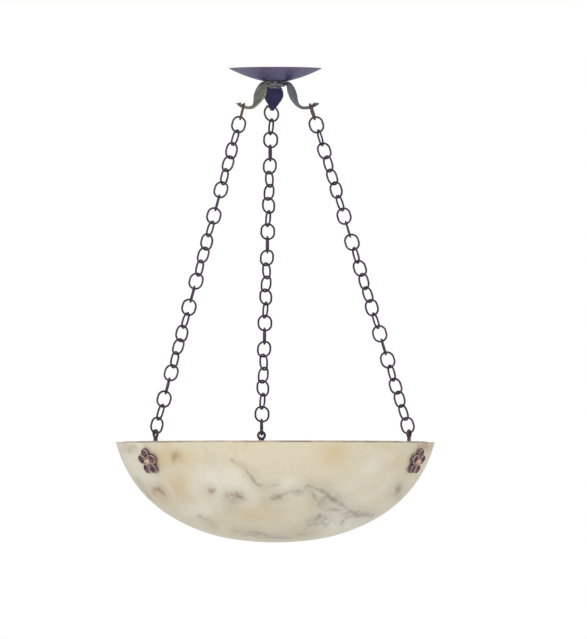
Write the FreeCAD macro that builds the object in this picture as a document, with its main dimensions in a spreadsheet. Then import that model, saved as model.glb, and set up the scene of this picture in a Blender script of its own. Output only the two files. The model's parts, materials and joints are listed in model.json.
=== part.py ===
import FreeCAD, Part

# Alabaster bowl pendant: a veined stone bowl that hangs on three chains of oval
# links from a small forged crown under a shallow conical ceiling canopy.
#
# Units are millimetres.  The origin is the centre of the canopy's rim, in the
# plane of the ceiling; +Z is up, so the whole lamp lies below z = 0.  The three
# legs stand at 90 degrees (back), 210 degrees (left) and 330 degrees (right)
# about the axis.  A leg is a straight line in its radial plane: it starts in the
# neck of a crown arm and ends in the eye of a wall hook.

import math
import os

import Sketcher
from FreeCAD import Matrix, Placement, Rotation, Vector

# ---------------------------------------------------------------- sizes

SIZES = (
    # ceiling canopy
    ("canopy_dia", 134.0, "rim diameter"),
    ("canopy_depth", 18.5, "ceiling plane to the flat bottom"),
    ("canopy_flat_dia", 34.0, "flat bottom"),
    ("canopy_bulge", 1.7, "how far the cone's side stands out from straight"),
    ("canopy_sheet", 1.3, "sheet thickness"),
    # ceiling crossbar
    ("crossbar_length", 106.0, "end to end"),
    ("crossbar_width", 20.0, "across"),
    ("crossbar_thickness", 2.4, "plate"),
    ("screw_spacing", 88.9, "ceiling screws, centre to centre"),
    ("screw_hole_dia", 4.8, "ceiling screw holes"),
    # stem and its fasteners
    ("stem_dia", 10.0, "threaded tube, over the thread"),
    ("stem_bore", 6.5, "wireway"),
    ("stem_clearance", 0.1, "radial room of holes round the stem"),
    ("nut_flats", 14.0, "stem nuts, across flats"),
    ("nut_height", 3.2, "stem nuts"),
    ("washer_dia", 26.0, "canopy washer"),
    ("washer_thickness", 1.5, "canopy washer"),
    # crown
    ("hub_dia", 33.0, "round plate under the canopy"),
    ("hub_thickness", 3.5, "round plate under the canopy"),
    ("collar_dia", 13.6, "spacer between canopy and hub"),
    ("rivet_dia", 3.6, "arm rivets"),
    ("rivet_radius", 11.6, "arm rivets, distance from the axis"),
    ("rivet_head_dia", 6.2, "arm rivets"),
    ("rivet_head_height", 1.6, "arm rivets"),
    ("arm_thickness", 3.0, "forged strap"),
    ("arm_root", 7.6, "inner end of the arm, distance from the axis"),
    ("arm_root_width", 11.0, "inner end of the arm"),
    ("arm_shoulder_width", 13.0, "where the arm leaves the hub"),
    ("arm_shoulder_room", 0.5, "from the edge of the hub to where the arm starts to fall"),
    ("arm_shoulder_pull", 13.0, "how far the fall bows outwards at the top"),
    ("arm_leaf_width", 28.5, "widest place, half way down"),
    ("arm_neck_width", 5.6, "where the ring hangs"),
    ("arm_neck_thickness", 4.2, "where the ring hangs"),
    ("arm_bevel", 1.5, "hammered edge"),
    ("trough_radius", 56.0, "ring seat, distance from the axis"),
    ("trough_depth", 56.0, "ring seat, below the ceiling plane"),
    ("trough_pull", 34.0, "how far the neck runs level before the seat"),
    ("trough_dip", 10.0, "how steeply the neck rises through the seat"),
    ("arm_tip_radius", 65.0, "end of the fishtail, distance from the axis"),
    ("arm_tip_rise", 5.5, "end of the fishtail, above the ring seat"),
    ("arm_tip_width", 15.0, "fishtail"),
    ("arm_tip_thickness", 1.8, "fishtail"),
    # rings and chain links
    ("ring_dia", 26.0, "top ring, over the wire"),
    ("link_length", 25.8, "chain link, over the wire"),
    ("link_width", 21.5, "chain link, over the wire"),
    ("wire_dia", 3.0, "ring and link wire"),
    ("link_count", 24, "links in a leg"),
    ("link_gap", 0.28, "between the wires of neighbouring links"),
    ("link_turn", 80.0, "degrees: about how far a link is turned from the last"),
    ("ring_gap", 0.7, "between the ring and the neck it hangs on"),
    # bowl
    ("bowl_dia", 457.0, "rim, outside"),
    ("bowl_wall", 12.0, "stone thickness"),
    ("bowl_rim_slope", 14.4, "degrees: wall from vertical at the rim"),
    ("bowl_side_radius", 175.0, "upper arc of the outside"),
    ("bowl_side_end", 58.0, "degrees: slope where the upper arc ends"),
    ("bowl_belly_radius", 243.6, "middle arc of the outside"),
    ("bowl_belly_end", 82.0, "degrees: slope where the middle arc ends"),
    ("bowl_hole_dia", 7.0, "holes for the wall bolts"),
    # hooks, rosettes and their bolts
    ("fixing_depth", 27.0, "rosette centre, below the rim"),
    ("fixing_land", 20.0, "height of the flat band that the washers bear on"),
    ("washer_gap", 0.1, "room between the stone and a washer"),
    ("fibre_washer_dia", 15.0, "washers on both faces of the stone"),
    ("fibre_washer_thickness", 1.0, "washers on both faces of the stone"),
    ("hook_width", 8.0, "strap"),
    ("hook_thickness", 2.8, "strap"),
    ("hook_tail", 9.0, "strap below the bolt"),
    ("hook_climb", 9.9, "up the wall from the bolt to where the strap bends upright"),
    ("eye_height", 11.4, "centre of the hook's eye, above the rim"),
    ("eye_dia", 13.6, "eye, over the bar"),
    ("eye_bar", 4.0, "eye bar"),
    ("eye_gap", 0.7, "between the last link and the eye, along the leg"),
    ("rosette_dia", 42.0, "over the petals"),
    ("rosette_petals", 5, "petals"),
    ("petal_dia", 15.8, "one petal"),
    ("petal_height", 5.2, "petal rim, above the rosette's back"),
    ("petal_dish", 2.6, "hollow of a petal"),
    ("petal_rim", 1.7, "width of a petal's raised rim"),
    ("boss_dia", 15.0, "middle of the rosette"),
    ("boss_height", 3.8, "middle of the rosette, above its back"),
    ("bolt_dia", 5.0, "wall bolts"),
    ("bolt_clearance", 0.15, "radial room of holes round a wall bolt"),
    ("bolt_head_dia", 10.0, "domed head, the flower's eye"),
    ("bolt_head_height", 4.6, "domed head, the flower's eye"),
    ("bolt_end", 1.0, "thread beyond the nut"),
    ("wall_nut_dia", 9.2, "nut on a wall bolt, over the corners"),
    ("wall_nut_height", 4.0, "nut on a wall bolt"),
    # lamp cluster inside the bowl
    ("spider_thickness", 2.0, "bracket plate"),
    ("spider_arm_width", 12.0, "bracket arm"),
    ("spider_plate_dia", 62.0, "middle of the bracket"),
    ("spider_overlap", 6.2, "bracket arm over the middle plate"),
    ("spider_tab", 6.6, "end of a bracket arm, up the wall from the bolt"),
    ("spider_depth", 44.0, "middle of the bracket, below the rim"),
    ("cluster_dia", 52.0, "hexagonal body under the bracket, over its corners"),
    ("cluster_height", 28.0, "hexagonal body under the bracket"),
    ("gland_nut_dia", 20.0, "over the corners"),
    ("gland_nut_height", 6.0, "gland nut on top of the bracket"),
    ("gland_dia", 12.0, "cord gland"),
    ("gland_height", 14.0, "cord gland, above its nut"),
    ("gland_bore", 7.0, "cord gland"),
    ("holder_dia", 25.0, "lampholder"),
    ("holder_length", 34.0, "lampholder"),
    ("holder_wall", 2.0, "lampholder"),
    ("holder_dip", 12.0, "degrees: lampholders slope down outwards"),
    ("bulb_dia", 45.0, "bulb"),
    ("bulb_length", 78.0, "bulb with its cap"),
    ("bulb_cap_dia", 14.0, "bulb cap"),
    ("bulb_cap_length", 24.0, "bulb cap, inside the lampholder"),
    # seats
    ("seat_gap", 0.3, "between pieces that rest on each other"),
)

LEGS = (("left", 210.0), ("right", 330.0), ("back", 90.0))
RING_TURNS = {"left": 36.0, "right": -16.0, "back": 36.0}
LAMP_ANGLES = (("left", 150.0), ("right", 30.0), ("front", 270.0))

# How many flats stand for a round form, and how many straight bands for the
# curve of the bowl.  More than these would take the assembly past its facet
# limit, most of which the seventy-two links use.
WIRE_FLATS = 5
LINK_END_TURNS = 3
RING_FLATS = 12
EYE_FLATS = 8
PETAL_FLATS = 8
BOLT_FLATS = 8
HEXAGON_FLATS = 6
SMALL_FLATS = 10
LARGE_FLATS = 20
CANOPY_FLATS = 36
BOWL_FLATS = 84
OUTER_BANDS = (3, 3, 1)
INNER_BANDS = (2, 2, 1)
ARM_FALL_STATIONS = 11
ARM_TIP_STATIONS = 3

# Shapes of small turned forms, as (share of the height, share of the radius).
RIVET_DOME = ((0.0, 1.0), (0.6, 0.86), (1.0, 0.55))
BOLT_DOME = ((0.0, 1.0), (0.5, 0.9), (1.0, 0.4))
HOLDER_SHELL = ((0.0, 0.7), (0.2, 1.0), (1.0, 1.0))
GLAND_TAPER = ((0.0, 1.0), (0.55, 1.0), (1.0, 0.78))
BULB_GLASS = ((0.29, 0.8), (0.58, 1.0), (0.83, 0.78), (1.0, 0.2))

# How far a cutter passes beyond the faces that it cuts through.
OVERRUN = 1.0

document = FreeCAD.newDocument("alabaster_pendant")
sheet = document.addObject("Spreadsheet::Sheet", "Sizes")


def add_size(row, alias, value, meaning):
    """Write one named size to a row of the sheet."""
    sheet.set(f"A{row}", alias)
    sheet.set(f"B{row}", repr(value))
    sheet.set(f"C{row}", meaning)
    sheet.setAlias(f"B{row}", alias)


for row, (alias, value, meaning) in enumerate(SIZES, start=1):
    add_size(row, alias, value, meaning)
document.recompute()


def size(alias):
    """Value of one cell of the sheet."""
    return float(sheet.get(alias))


# ---------------------------------------------------------------- directions

UP = Vector(0, 0, 1)
ACROSS = Vector(1, 0, 0)
SIDEWAYS = Vector(0, 1, 0)
ORIGIN = Vector(0, 0, 0)
SAME_POINT = 1e-6


def outward(degrees):
    """Unit vector away from the axis at an angle about it."""
    angle = math.radians(degrees)
    return Vector(math.cos(angle), math.sin(angle), 0)


def about_axis(degrees):
    """Placement that turns a piece made at 0 degrees to another leg."""
    return Placement(ORIGIN, Rotation(UP, degrees))


def frame_at(origin, x_axis, y_axis, z_axis):
    """Placement that takes X, Y and Z to three given directions."""
    return Placement(
        Matrix(
            x_axis.x, y_axis.x, z_axis.x, origin.x,
            x_axis.y, y_axis.y, z_axis.y, origin.y,
            x_axis.z, y_axis.z, z_axis.z, origin.z,
            0, 0, 0, 1,
        )
    )


def placed(shape, *placements):
    """Copy of a shape with placements applied one after another."""
    copy = shape.copy()
    for placement in placements:
        copy.transformShape(placement.toMatrix(), True)
    return copy


# ---------------------------------------------------------------- pieces of the document

pieces = []


def keep(item, label):
    """Register an object of the document as a finished piece."""
    item.Label = label
    pieces.append(item)
    return item


def add_shape(label, shape):
    """A piece whose shape is worked out here from the sheet's sizes."""
    feature = document.addObject("Part::Feature", label)
    feature.Shape = shape
    return keep(feature, label)


def origin_plane(body, role):
    return [f for f in body.Origin.OriginFeatures if f.Role == role][0]


def bound_profile(body, name, role, corners):
    """Closed outline whose corners are tied to the sheet.

    Each corner is a pair of expressions; the text "0" puts it on the axis.
    """
    sketch = body.newObject("Sketcher::SketchObject", name)
    sketch.AttachmentSupport = [(origin_plane(body, role), "")]
    sketch.MapMode = "FlatFace"
    points = [Vector(evaluate(x), evaluate(y), 0) for x, y in corners]
    count = len(points)
    for index in range(count):
        side = Part.LineSegment(points[index], points[(index + 1) % count])
        sketch.addGeometry(side, False)
    for index in range(count):
        follow = (index + 1) % count
        sketch.addConstraint(Sketcher.Constraint("Coincident", index, 2, follow, 1))
    for index, (x, y) in enumerate(corners):
        for kind, axis, text, value in (
            ("DistanceX", -2, x, points[index].x),
            ("DistanceY", -1, y, points[index].y),
        ):
            if text == "0":
                sketch.addConstraint(Sketcher.Constraint("PointOnObject", index, 1, axis))
                continue
            distance = Sketcher.Constraint(kind, -1, 1, index, 1, value)
            number = sketch.addConstraint(distance)
            sketch.setExpression(f"Constraints[{number}]", text)
    return sketch


def evaluate(expression):
    """Value of an expression over the sheet, in plain millimetres."""
    return float(sheet.evalExpression(expression))


def bound_circles(body, name, role, circles):
    """Sketch of circles on the X axis, from (distance, radius) expressions."""
    sketch = body.newObject("Sketcher::SketchObject", name)
    sketch.AttachmentSupport = [(origin_plane(body, role), "")]
    sketch.MapMode = "FlatFace"
    for index, (distance, radius) in enumerate(circles):
        centre = Vector(evaluate(distance), 0, 0)
        sketch.addGeometry(Part.Circle(centre, UP, evaluate(radius)), False)
        sketch.addConstraint(Sketcher.Constraint("PointOnObject", index, 3, -1))
        rounding = Sketcher.Constraint("Radius", index, evaluate(radius))
        number = sketch.addConstraint(rounding)
        sketch.setExpression(f"Constraints[{number}]", radius)
        offset = Sketcher.Constraint("DistanceX", -1, 1, index, 3, centre.x)
        number = sketch.addConstraint(offset)
        sketch.setExpression(f"Constraints[{number}]", distance)
    return sketch


# ---------------------------------------------------------------- plain forms


def polygon_points(centre, x_axis, y_axis, across_x, across_y, corners, start=0.0):
    """Corners of a regular or stretched polygon, given by its half widths."""
    found = []
    for index in range(corners):
        angle = math.radians(start) + 2 * math.pi * index / corners
        along_x = x_axis * (across_x * math.cos(angle))
        along_y = y_axis * (across_y * math.sin(angle))
        found.append(centre + along_x + along_y)
    return found


def closed_wire(points):
    return Part.makePolygon(list(points) + [points[0]])


def flat_faces(corners):
    """One face for a flat outline, or two triangles for a twisted quad."""
    follows = corners[1:] + corners[:1]
    kept = [p for p, q in zip(corners, follows) if (p - q).Length > SAME_POINT]
    if len(kept) == 4:
        normal = (kept[1] - kept[0]).cross(kept[2] - kept[0])
        if abs(normal.normalize().dot(kept[3] - kept[0])) > SAME_POINT:
            halves = (kept[:3], [kept[0], kept[2], kept[3]])
            return [Part.Face(closed_wire(half)) for half in halves]
    return [Part.Face(closed_wire(kept))] if len(kept) > 2 else []


def solid_of(faces):
    """Solid inside a closed set of flat faces."""
    shell = Part.makeShell(faces)
    shell.sewShape()
    solid = Part.makeSolid(shell)
    if solid.Volume < 0:
        solid.reverse()
    return solid


def skin(sections, capped=True):
    """Solid through outlines of equally many corners, one after another.

    Without caps the last outline is joined to the first, which makes a loop.
    """
    faces = []
    pairs = zip(sections, sections[1:] + ([] if capped else sections[:1]))
    for here, there in pairs:
        for index, corner in enumerate(here):
            follow = (index + 1) % len(here)
            faces += flat_faces([corner, there[index], there[follow], here[follow]])
    if capped:
        faces += flat_faces(sections[0]) + flat_faces(sections[-1])
    return solid_of(faces)


def ring_of(radius, height, flats, start=0.0):
    """Corners of a regular polygon about Z."""
    centre = UP * height
    return polygon_points(centre, ACROSS, SIDEWAYS, radius, radius, flats, start)


def turned(stations, flats):
    """Solid turned about Z from (height, radius) stations."""
    return skin([ring_of(radius, height, flats) for height, radius in stations])


def peg(radius, low, high, flats):
    """Straight peg about Z between two heights, or the drill for its hole."""
    return turned(((low, radius), (high, radius)), flats)


def domed(shares, low, height, radius):
    """Stations of a small turned form whose height and radius are given."""
    return [(low + height * rise, radius * width) for rise, width in shares]


def turned_wall(profile, flats):
    """Vessel or ring turned about Z from a closed (radius, height) outline."""
    half_flat = 180.0 / flats
    rings = [ring_of(radius, height, flats, half_flat) for radius, height in profile]
    return skin(rings, capped=False)


def wire_half_flat():
    """Distance from a wire's centre line to its inner flat."""
    return wire_circumradius() * math.cos(math.pi / WIRE_FLATS)


def wire_circumradius(bar=None):
    """Circumradius of the wire's polygon, with the area of the round bar."""
    bar = size("wire_dia") if bar is None else bar
    round_area = math.pi * bar**2 / 4
    return math.sqrt(2 * round_area / (WIRE_FLATS * math.sin(2 * math.pi / WIRE_FLATS)))


def loop_points(half_straight, end_radius, turns):
    """Corners of a closed centre line in XY: two round ends joined by sides.

    Each end turns half a circle in equal steps and lies round its arc, so that
    the far end is a straight run square to X, where the next piece seats.
    """
    step = math.pi / (turns + 1)
    reach = end_radius / math.cos(step / 2)
    points = []
    for end, side in ((0, 1), (1, -1)):
        for index in range(turns + 1):
            angle = -math.pi / 2 + step * (index + 0.5) + end * math.pi
            along = side * half_straight + reach * math.cos(angle)
            points.append(Vector(along, reach * math.sin(angle), 0))
    return points


def round_line(radius, flats):
    """Corners of a round centre line in XY, whose sides touch the circle."""
    corner = radius / math.cos(math.pi / flats)
    return ring_of(corner, 0.0, flats, 180.0 / flats)


def bent_bar(centre_line, circumradius):
    """Closed loop of bar along a centre line in XY, mitred at its corners.

    The bar's section has one flat that faces the inside of the loop.
    """
    count = len(centre_line)
    middle = sum(centre_line, Vector()) * (1.0 / count)
    rings = []
    for index, corner in enumerate(centre_line):
        before = (corner - centre_line[index - 1]).normalize()
        after = (centre_line[(index + 1) % count] - corner).normalize()
        mitre = (before - after).normalize()
        if mitre.dot(corner - middle) < 0:
            mitre = mitre * -1
        stretch = 1 / math.cos(before.getAngle(after) / 2)
        section = []
        for flat in range(WIRE_FLATS):
            angle = 2 * math.pi * flat / WIRE_FLATS
            outwards = mitre * (circumradius * stretch * math.cos(angle))
            section.append(corner + outwards + UP * (circumradius * math.sin(angle)))
        rings.append(section)
    return skin(rings, capped=False)


# ---------------------------------------------------------------- bowl wall and wall bolts


class BowlArc:
    """One arc of the bowl's outside, from one wall slope to the next."""

    def __init__(self, centre_r, centre_z, radius, start, end):
        self.centre_r = centre_r
        self.centre_z = centre_z
        self.radius = radius
        self.start = start
        self.end = end

    def point(self, slope, inset=0.0):
        angle = math.radians(slope)
        reach = self.radius - inset
        return self.centre_r + reach * math.cos(angle), self.centre_z - reach * math.sin(angle)


def bowl_arcs():
    """Three arcs, tangent to each other; the last one ends level on the axis."""
    arcs = []
    r, z = size("bowl_dia") / 2, 0.0
    slope = size("bowl_rim_slope")
    for radius, end in (
        (size("bowl_side_radius"), size("bowl_side_end")),
        (size("bowl_belly_radius"), size("bowl_belly_end")),
        (None, 90.0),
    ):
        angle = math.radians(slope)
        if radius is None:
            radius = r / math.cos(angle)
        centre_r = r - radius * math.cos(angle)
        centre_z = z + radius * math.sin(angle)
        arc = BowlArc(centre_r, centre_z, radius, slope, end)
        arcs.append(arc)
        r, z = arc.point(end)
        slope = end
    return arcs


BOWL_ARCS = bowl_arcs()


def fixing_slopes():
    """Slopes between which the wall is flat, so that the washers bear on it."""
    arc = BOWL_ARCS[0]
    sine = math.sin(math.radians(arc.start)) + size("fixing_depth") / arc.radius
    middle = math.degrees(math.asin(sine))
    half_land = math.degrees(math.asin(size("fixing_land") / 2 / arc.radius))
    return middle - half_land, middle + half_land


def evenly(start, end, steps):
    """The steps from one value to the next, without the first."""
    return [start + (end - start) * index / steps for index in range(1, steps + 1)]


def wall_points(bands, inset):
    """Corners of one side of the wall, from the rim's slope to the axis."""
    land_start, land_end = fixing_slopes()
    first = BOWL_ARCS[0]
    points = [first.point(slope, inset) for slope in (first.start, land_start, land_end)]
    points += [first.point(slope, inset) for slope in evenly(land_end, first.end, bands[0])]
    for arc, steps in zip(BOWL_ARCS[1:], bands[1:]):
        points += [arc.point(slope, inset) for slope in evenly(arc.start, arc.end, steps)]
    return points[:-1] + [(0.0, points[-1][1])]


def bowl_profile():
    """Outline of the wall: outside down to the axis, inside back to the rim."""
    outside = wall_points(OUTER_BANDS, 0.0)
    inside = wall_points(INNER_BANDS, size("bowl_wall"))
    lip_r, lip_z = inside[0]
    inside[0] = (lip_r - lip_z * math.tan(math.radians(BOWL_ARCS[0].start)), 0.0)
    return outside + inside[::-1]


def land_ends(inset):
    """Ends of the flat land in the middle of its facet, from the rim's plane."""
    shrink = math.cos(math.pi / BOWL_FLATS)
    points = [BOWL_ARCS[0].point(slope, inset) for slope in fixing_slopes()]
    return [Vector(r * shrink, 0, z) for r, z in points]


def fixing_directions():
    """Bolt centre on the outside of the wall, from the rim's plane at 0 degrees.

    The directions are tangential, up the wall and out of the stone.
    """
    upper, lower = land_ends(0.0)
    up_wall = (upper - lower).normalize()
    out = Vector(up_wall.z, 0, -up_wall.x)
    return (upper + lower) * 0.5, up_wall.cross(out), up_wall, out


FIX_FROM_RIM, FIX_SIDE, FIX_UP, FIX_OUT = fixing_directions()

# Depths along the bolt, measured outwards from the outside of the stone.
ROSETTE_BACK = size("washer_gap") + size("fibre_washer_thickness")
INNER_FACE = (land_ends(size("bowl_wall"))[0] - FIX_FROM_RIM).dot(FIX_OUT)
PAD_FACE = INNER_FACE - size("washer_gap") - size("fibre_washer_thickness")
PAD_MIDDLE = PAD_FACE - size("hook_thickness") / 2
PAD_BACK = PAD_FACE - size("hook_thickness")
TAB_BACK = PAD_BACK - size("spider_thickness")
NUT_BACK = TAB_BACK - size("wall_nut_height")
NUT_END = NUT_BACK - size("bolt_end")

# The hook's strap lies on the wall, then stands upright at this radius.
HOOK_BEND = FIX_FROM_RIM + FIX_OUT * PAD_MIDDLE + FIX_UP * size("hook_climb")
HOOK_RADIUS = HOOK_BEND.x


# ---------------------------------------------------------------- leg geometry


def leg_lengths():
    """Sizes along a leg that follow from the rings and links."""
    ring_mean = (size("ring_dia") - size("wire_dia")) / 2
    half_flat = wire_half_flat()
    hang = size("arm_neck_thickness") / 2 + size("ring_gap") + half_flat
    ring_drop = 2 * ring_mean - hang
    seat = 2 * half_flat + size("link_gap")
    link_line = size("link_length") - size("wire_dia")
    pitch = link_line - seat
    return ring_mean, hang, ring_drop, seat, link_line, pitch


RING_MEAN, RING_HANG, RING_DROP, LINK_SEAT, LINK_LINE, LINK_PITCH = leg_lengths()
LINK_COUNT = int(size("link_count"))
EYE_CIRCUMRADIUS = wire_circumradius(size("eye_bar"))
EYE_HALF_FLAT = EYE_CIRCUMRADIUS * math.cos(math.pi / WIRE_FLATS)
EYE_MEAN = (size("eye_dia") - size("eye_bar")) / 2
EYE_SEAT = wire_half_flat() + EYE_HALF_FLAT + size("eye_gap")
LEG_LENGTH = RING_DROP + LINK_COUNT * LINK_PITCH


# Angle of a leg from the vertical.  The last link seats over the bar of the
# eye, so the leg's end stands beyond the eye by the seat, along the leg.
LEG_SLOPE = math.asin((HOOK_RADIUS - size("trough_radius")) / (LEG_LENGTH - EYE_SEAT))
LEG_END_RADIUS = size("trough_radius") + LEG_LENGTH * math.sin(LEG_SLOPE)
LEG_END_Z = -size("trough_depth") - LEG_LENGTH * math.cos(LEG_SLOPE)
EYE_CENTRE_Z = LEG_END_Z + EYE_SEAT * math.cos(LEG_SLOPE) - EYE_MEAN
RIM_Z = EYE_CENTRE_Z - size("eye_height")
FIX_CENTRE = FIX_FROM_RIM + UP * RIM_Z
FIX = frame_at(FIX_CENTRE, FIX_SIDE, FIX_UP, FIX_OUT)

# The rim's height follows from the legs.  Expressions read it from a cell too.
add_size(len(SIZES) + 1, "rim_height", RIM_Z, "worked out: the rim, from the ceiling plane")
document.recompute()


def leg_frame(degrees):
    """Seat point and directions of a leg: down it, across it, tangential."""
    radial = outward(degrees)
    seat = radial * size("trough_radius") - UP * size("trough_depth")
    down = radial * math.sin(LEG_SLOPE) - UP * math.cos(LEG_SLOPE)
    tangent = UP.cross(radial)
    across = radial * math.cos(LEG_SLOPE) + UP * math.sin(LEG_SLOPE)
    return seat, down, across, tangent


def loop_placement(centre, down, across, tangent, turn):
    """Place a loop made in XY so that X runs down the leg."""
    angle = math.radians(turn)
    in_plane = tangent * math.cos(angle) + across * math.sin(angle)
    return frame_at(centre, down, in_plane, down.cross(in_plane))


# ---------------------------------------------------------------- ceiling fittings

STEM_HOLE = "Sizes.stem_dia / 2 + Sizes.stem_clearance"
STEM_HOLE_RADIUS = size("stem_dia") / 2 + size("stem_clearance")

CANOPY_FLOOR = -size("canopy_depth")
ARM_ROOT_TOP = CANOPY_FLOOR - size("seat_gap")
HUB_TOP = ARM_ROOT_TOP - size("arm_thickness")
HUB_BOTTOM = HUB_TOP - size("hub_thickness")


def make_canopy():
    """Shallow cone of sheet, slightly bowed out, knife-thin at the rim."""
    rim = size("canopy_dia") / 2
    flat = size("canopy_flat_dia") / 2
    sheet_thickness = size("canopy_sheet")
    outwards = Vector(size("canopy_depth"), 0, flat - rim).normalize()
    bowed = Vector((rim + flat) / 2, 0, CANOPY_FLOOR / 2) + outwards * size("canopy_bulge")
    knife = sheet_thickness * (rim - flat) / size("canopy_depth")
    profile = (
        (rim, 0.0),
        (bowed.x, bowed.z),
        (flat, CANOPY_FLOOR),
        (STEM_HOLE_RADIUS, CANOPY_FLOOR),
        (STEM_HOLE_RADIUS, CANOPY_FLOOR + sheet_thickness),
        (flat, CANOPY_FLOOR + sheet_thickness),
        (bowed.x, bowed.z + sheet_thickness),
        (rim - knife, 0.0),
    )
    add_shape("ceiling_canopy", turned_wall(profile, CANOPY_FLATS))


def make_crossbar():
    """Flat bar screwed to the ceiling box, tapped in the middle for the stem."""
    body = document.addObject("PartDesign::Body", "crossbar_plate_body")
    end = "Sizes.crossbar_length / 2"
    side = "Sizes.crossbar_width / 2"
    nip = "Sizes.crossbar_width / 4"
    corners = []
    quarters = ((1, 1, True), (-1, 1, False), (-1, -1, True), (1, -1, False))
    for x_sign, y_sign, end_first in quarters:
        at_end = (f"{x_sign} * {end}", f"{y_sign} * ({side} - {nip})")
        at_side = (f"{x_sign} * ({end} - {nip})", f"{y_sign} * {side}")
        corners += [at_end, at_side] if end_first else [at_side, at_end]
    outline = bound_profile(body, "crossbar_outline", "XY_Plane", corners)
    plate = body.newObject("PartDesign::Pad", "crossbar_plate")
    plate.Profile = outline
    plate.Reversed = True
    plate.setExpression("Length", "Sizes.crossbar_thickness")
    holes = bound_circles(
        body,
        "crossbar_hole_circles",
        "XY_Plane",
        (
            ("Sizes.screw_spacing / 2", "Sizes.screw_hole_dia / 2"),
            ("-Sizes.screw_spacing / 2", "Sizes.screw_hole_dia / 2"),
        ),
    )
    pocket = body.newObject("PartDesign::Pocket", "crossbar_holes")
    pocket.Profile = holes
    pocket.Type = "ThroughAll"
    bar = document.addObject("Part::Cut", "mounting_crossbar")
    bar.Base = body
    bar.Tool = make_prism(
        "crossbar_tapping",
        SMALL_FLATS,
        STEM_HOLE,
        "-2 * Sizes.crossbar_thickness",
        "3 * Sizes.crossbar_thickness",
    )
    keep(bar, "mounting_crossbar")


def make_prism(label, corners, radius, bottom, height):
    """Upright prism about the axis; all but its corners are expressions."""
    prism = document.addObject("Part::Prism", label)
    prism.Polygon = corners
    prism.setExpression("Circumradius", radius)
    prism.setExpression("Height", height)
    prism.setExpression("Placement.Base.z", bottom)
    return prism


def make_collar(label, corners, outer, inner, bottom, height):
    """Nut, washer or tube about the axis; all but its corners are expressions."""
    collar = document.addObject("Part::Cut", label)
    collar.Base = make_prism(f"{label}_outside", corners, outer, bottom, height)
    below = f"{bottom} - ({height})"
    collar.Tool = make_prism(f"{label}_bore", SMALL_FLATS, inner, below, f"3 * ({height})")
    keep(collar, label)


HUB_TOP_TEXT = "(-Sizes.canopy_depth - Sizes.seat_gap - Sizes.arm_thickness)"
HUB_BOTTOM_TEXT = f"({HUB_TOP_TEXT} - Sizes.hub_thickness)"
FLOOR_TOP_TEXT = "(-Sizes.canopy_depth + Sizes.canopy_sheet)"
HEXAGON_CORNER = "/ 2 / cos(30 deg)"


def make_stem_and_nuts():
    """Threaded tube that carries the lamp, with the pieces screwed onto it."""
    make_collar(
        "stem_tube",
        SMALL_FLATS,
        "Sizes.stem_dia / 2",
        "Sizes.stem_bore / 2",
        f"{HUB_BOTTOM_TEXT} - Sizes.nut_height",
        f"-1 * ({HUB_BOTTOM_TEXT} - Sizes.nut_height) - Sizes.seat_gap",
    )
    washer_top = f"{FLOOR_TOP_TEXT} + Sizes.washer_thickness"
    for label, bottom in (
        ("crossbar_lock_nut", "-Sizes.crossbar_thickness - Sizes.nut_height"),
        ("canopy_nut", washer_top),
        ("hub_nut", f"{HUB_BOTTOM_TEXT} - Sizes.nut_height"),
    ):
        corner = f"Sizes.nut_flats {HEXAGON_CORNER}"
        make_collar(label, HEXAGON_FLATS, corner, STEM_HOLE, bottom, "Sizes.nut_height")
    make_collar(
        "canopy_washer",
        LARGE_FLATS,
        "Sizes.washer_dia / 2",
        STEM_HOLE,
        FLOOR_TOP_TEXT,
        "Sizes.washer_thickness",
    )
    make_collar(
        "spacer_collar",
        SMALL_FLATS,
        "Sizes.collar_dia / 2",
        STEM_HOLE,
        HUB_TOP_TEXT,
        "Sizes.arm_thickness + Sizes.seat_gap",
    )


# ---------------------------------------------------------------- crown


def make_hub():
    """Round plate that the three arms are riveted to."""
    height = "Sizes.hub_thickness"
    below = f"{HUB_BOTTOM_TEXT} - {height}"
    plate = make_prism("hub_plate", LARGE_FLATS, "Sizes.hub_dia / 2", HUB_BOTTOM_TEXT, height)
    holes = [make_prism("hub_bore", SMALL_FLATS, STEM_HOLE, below, f"3 * {height}")]
    for name, degrees in LEGS:
        hole = make_prism(
            f"hub_rivet_hole_{name}", BOLT_FLATS, "Sizes.rivet_dia / 2", below, f"3 * {height}"
        )
        hole.setExpression("Placement.Base.x", f"Sizes.rivet_radius * cos({degrees} deg)")
        hole.setExpression("Placement.Base.y", f"Sizes.rivet_radius * sin({degrees} deg)")
        holes.append(hole)
    drilled = document.addObject("Part::MultiFuse", "hub_holes")
    drilled.Shapes = holes
    hub = document.addObject("Part::Cut", "crown_hub")
    hub.Base = plate
    hub.Tool = drilled
    keep(hub, "crown_hub")


def smooth_step(share):
    """Eased value between 0 and 1."""
    share = min(1.0, max(0.0, share))
    return share * share * (3 - 2 * share)


def eased(stations, place):
    """Value at a place along (place, value) stations, eased between them."""
    for (start, low), (end, high) in zip(stations, stations[1:]):
        if place <= end:
            return low + (high - low) * smooth_step((place - start) / (end - start))
    return stations[-1][1]


def bezier(points, share):
    """Point and direction on a curve with three or four control points."""
    working = list(points)
    while len(working) > 2:
        working = [a * (1 - share) + b * share for a, b in zip(working, working[1:])]
    direction = (working[1] - working[0]).normalize()
    return working[0] * (1 - share) + working[1] * share, direction


# Shares of the way down an arm's fall: where the leaf is widest, where the strap
# starts to thicken and where the neck starts.  Then, on the tail beyond the ring's
# seat: where the fishtail starts, and how far the tail bows.
LEAF_PLACE = 0.42
THICK_PLACE = 0.6
NECK_PLACE = 0.84
TAIL_PLACE = 0.3
TAIL_BOW = 0.55


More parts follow.
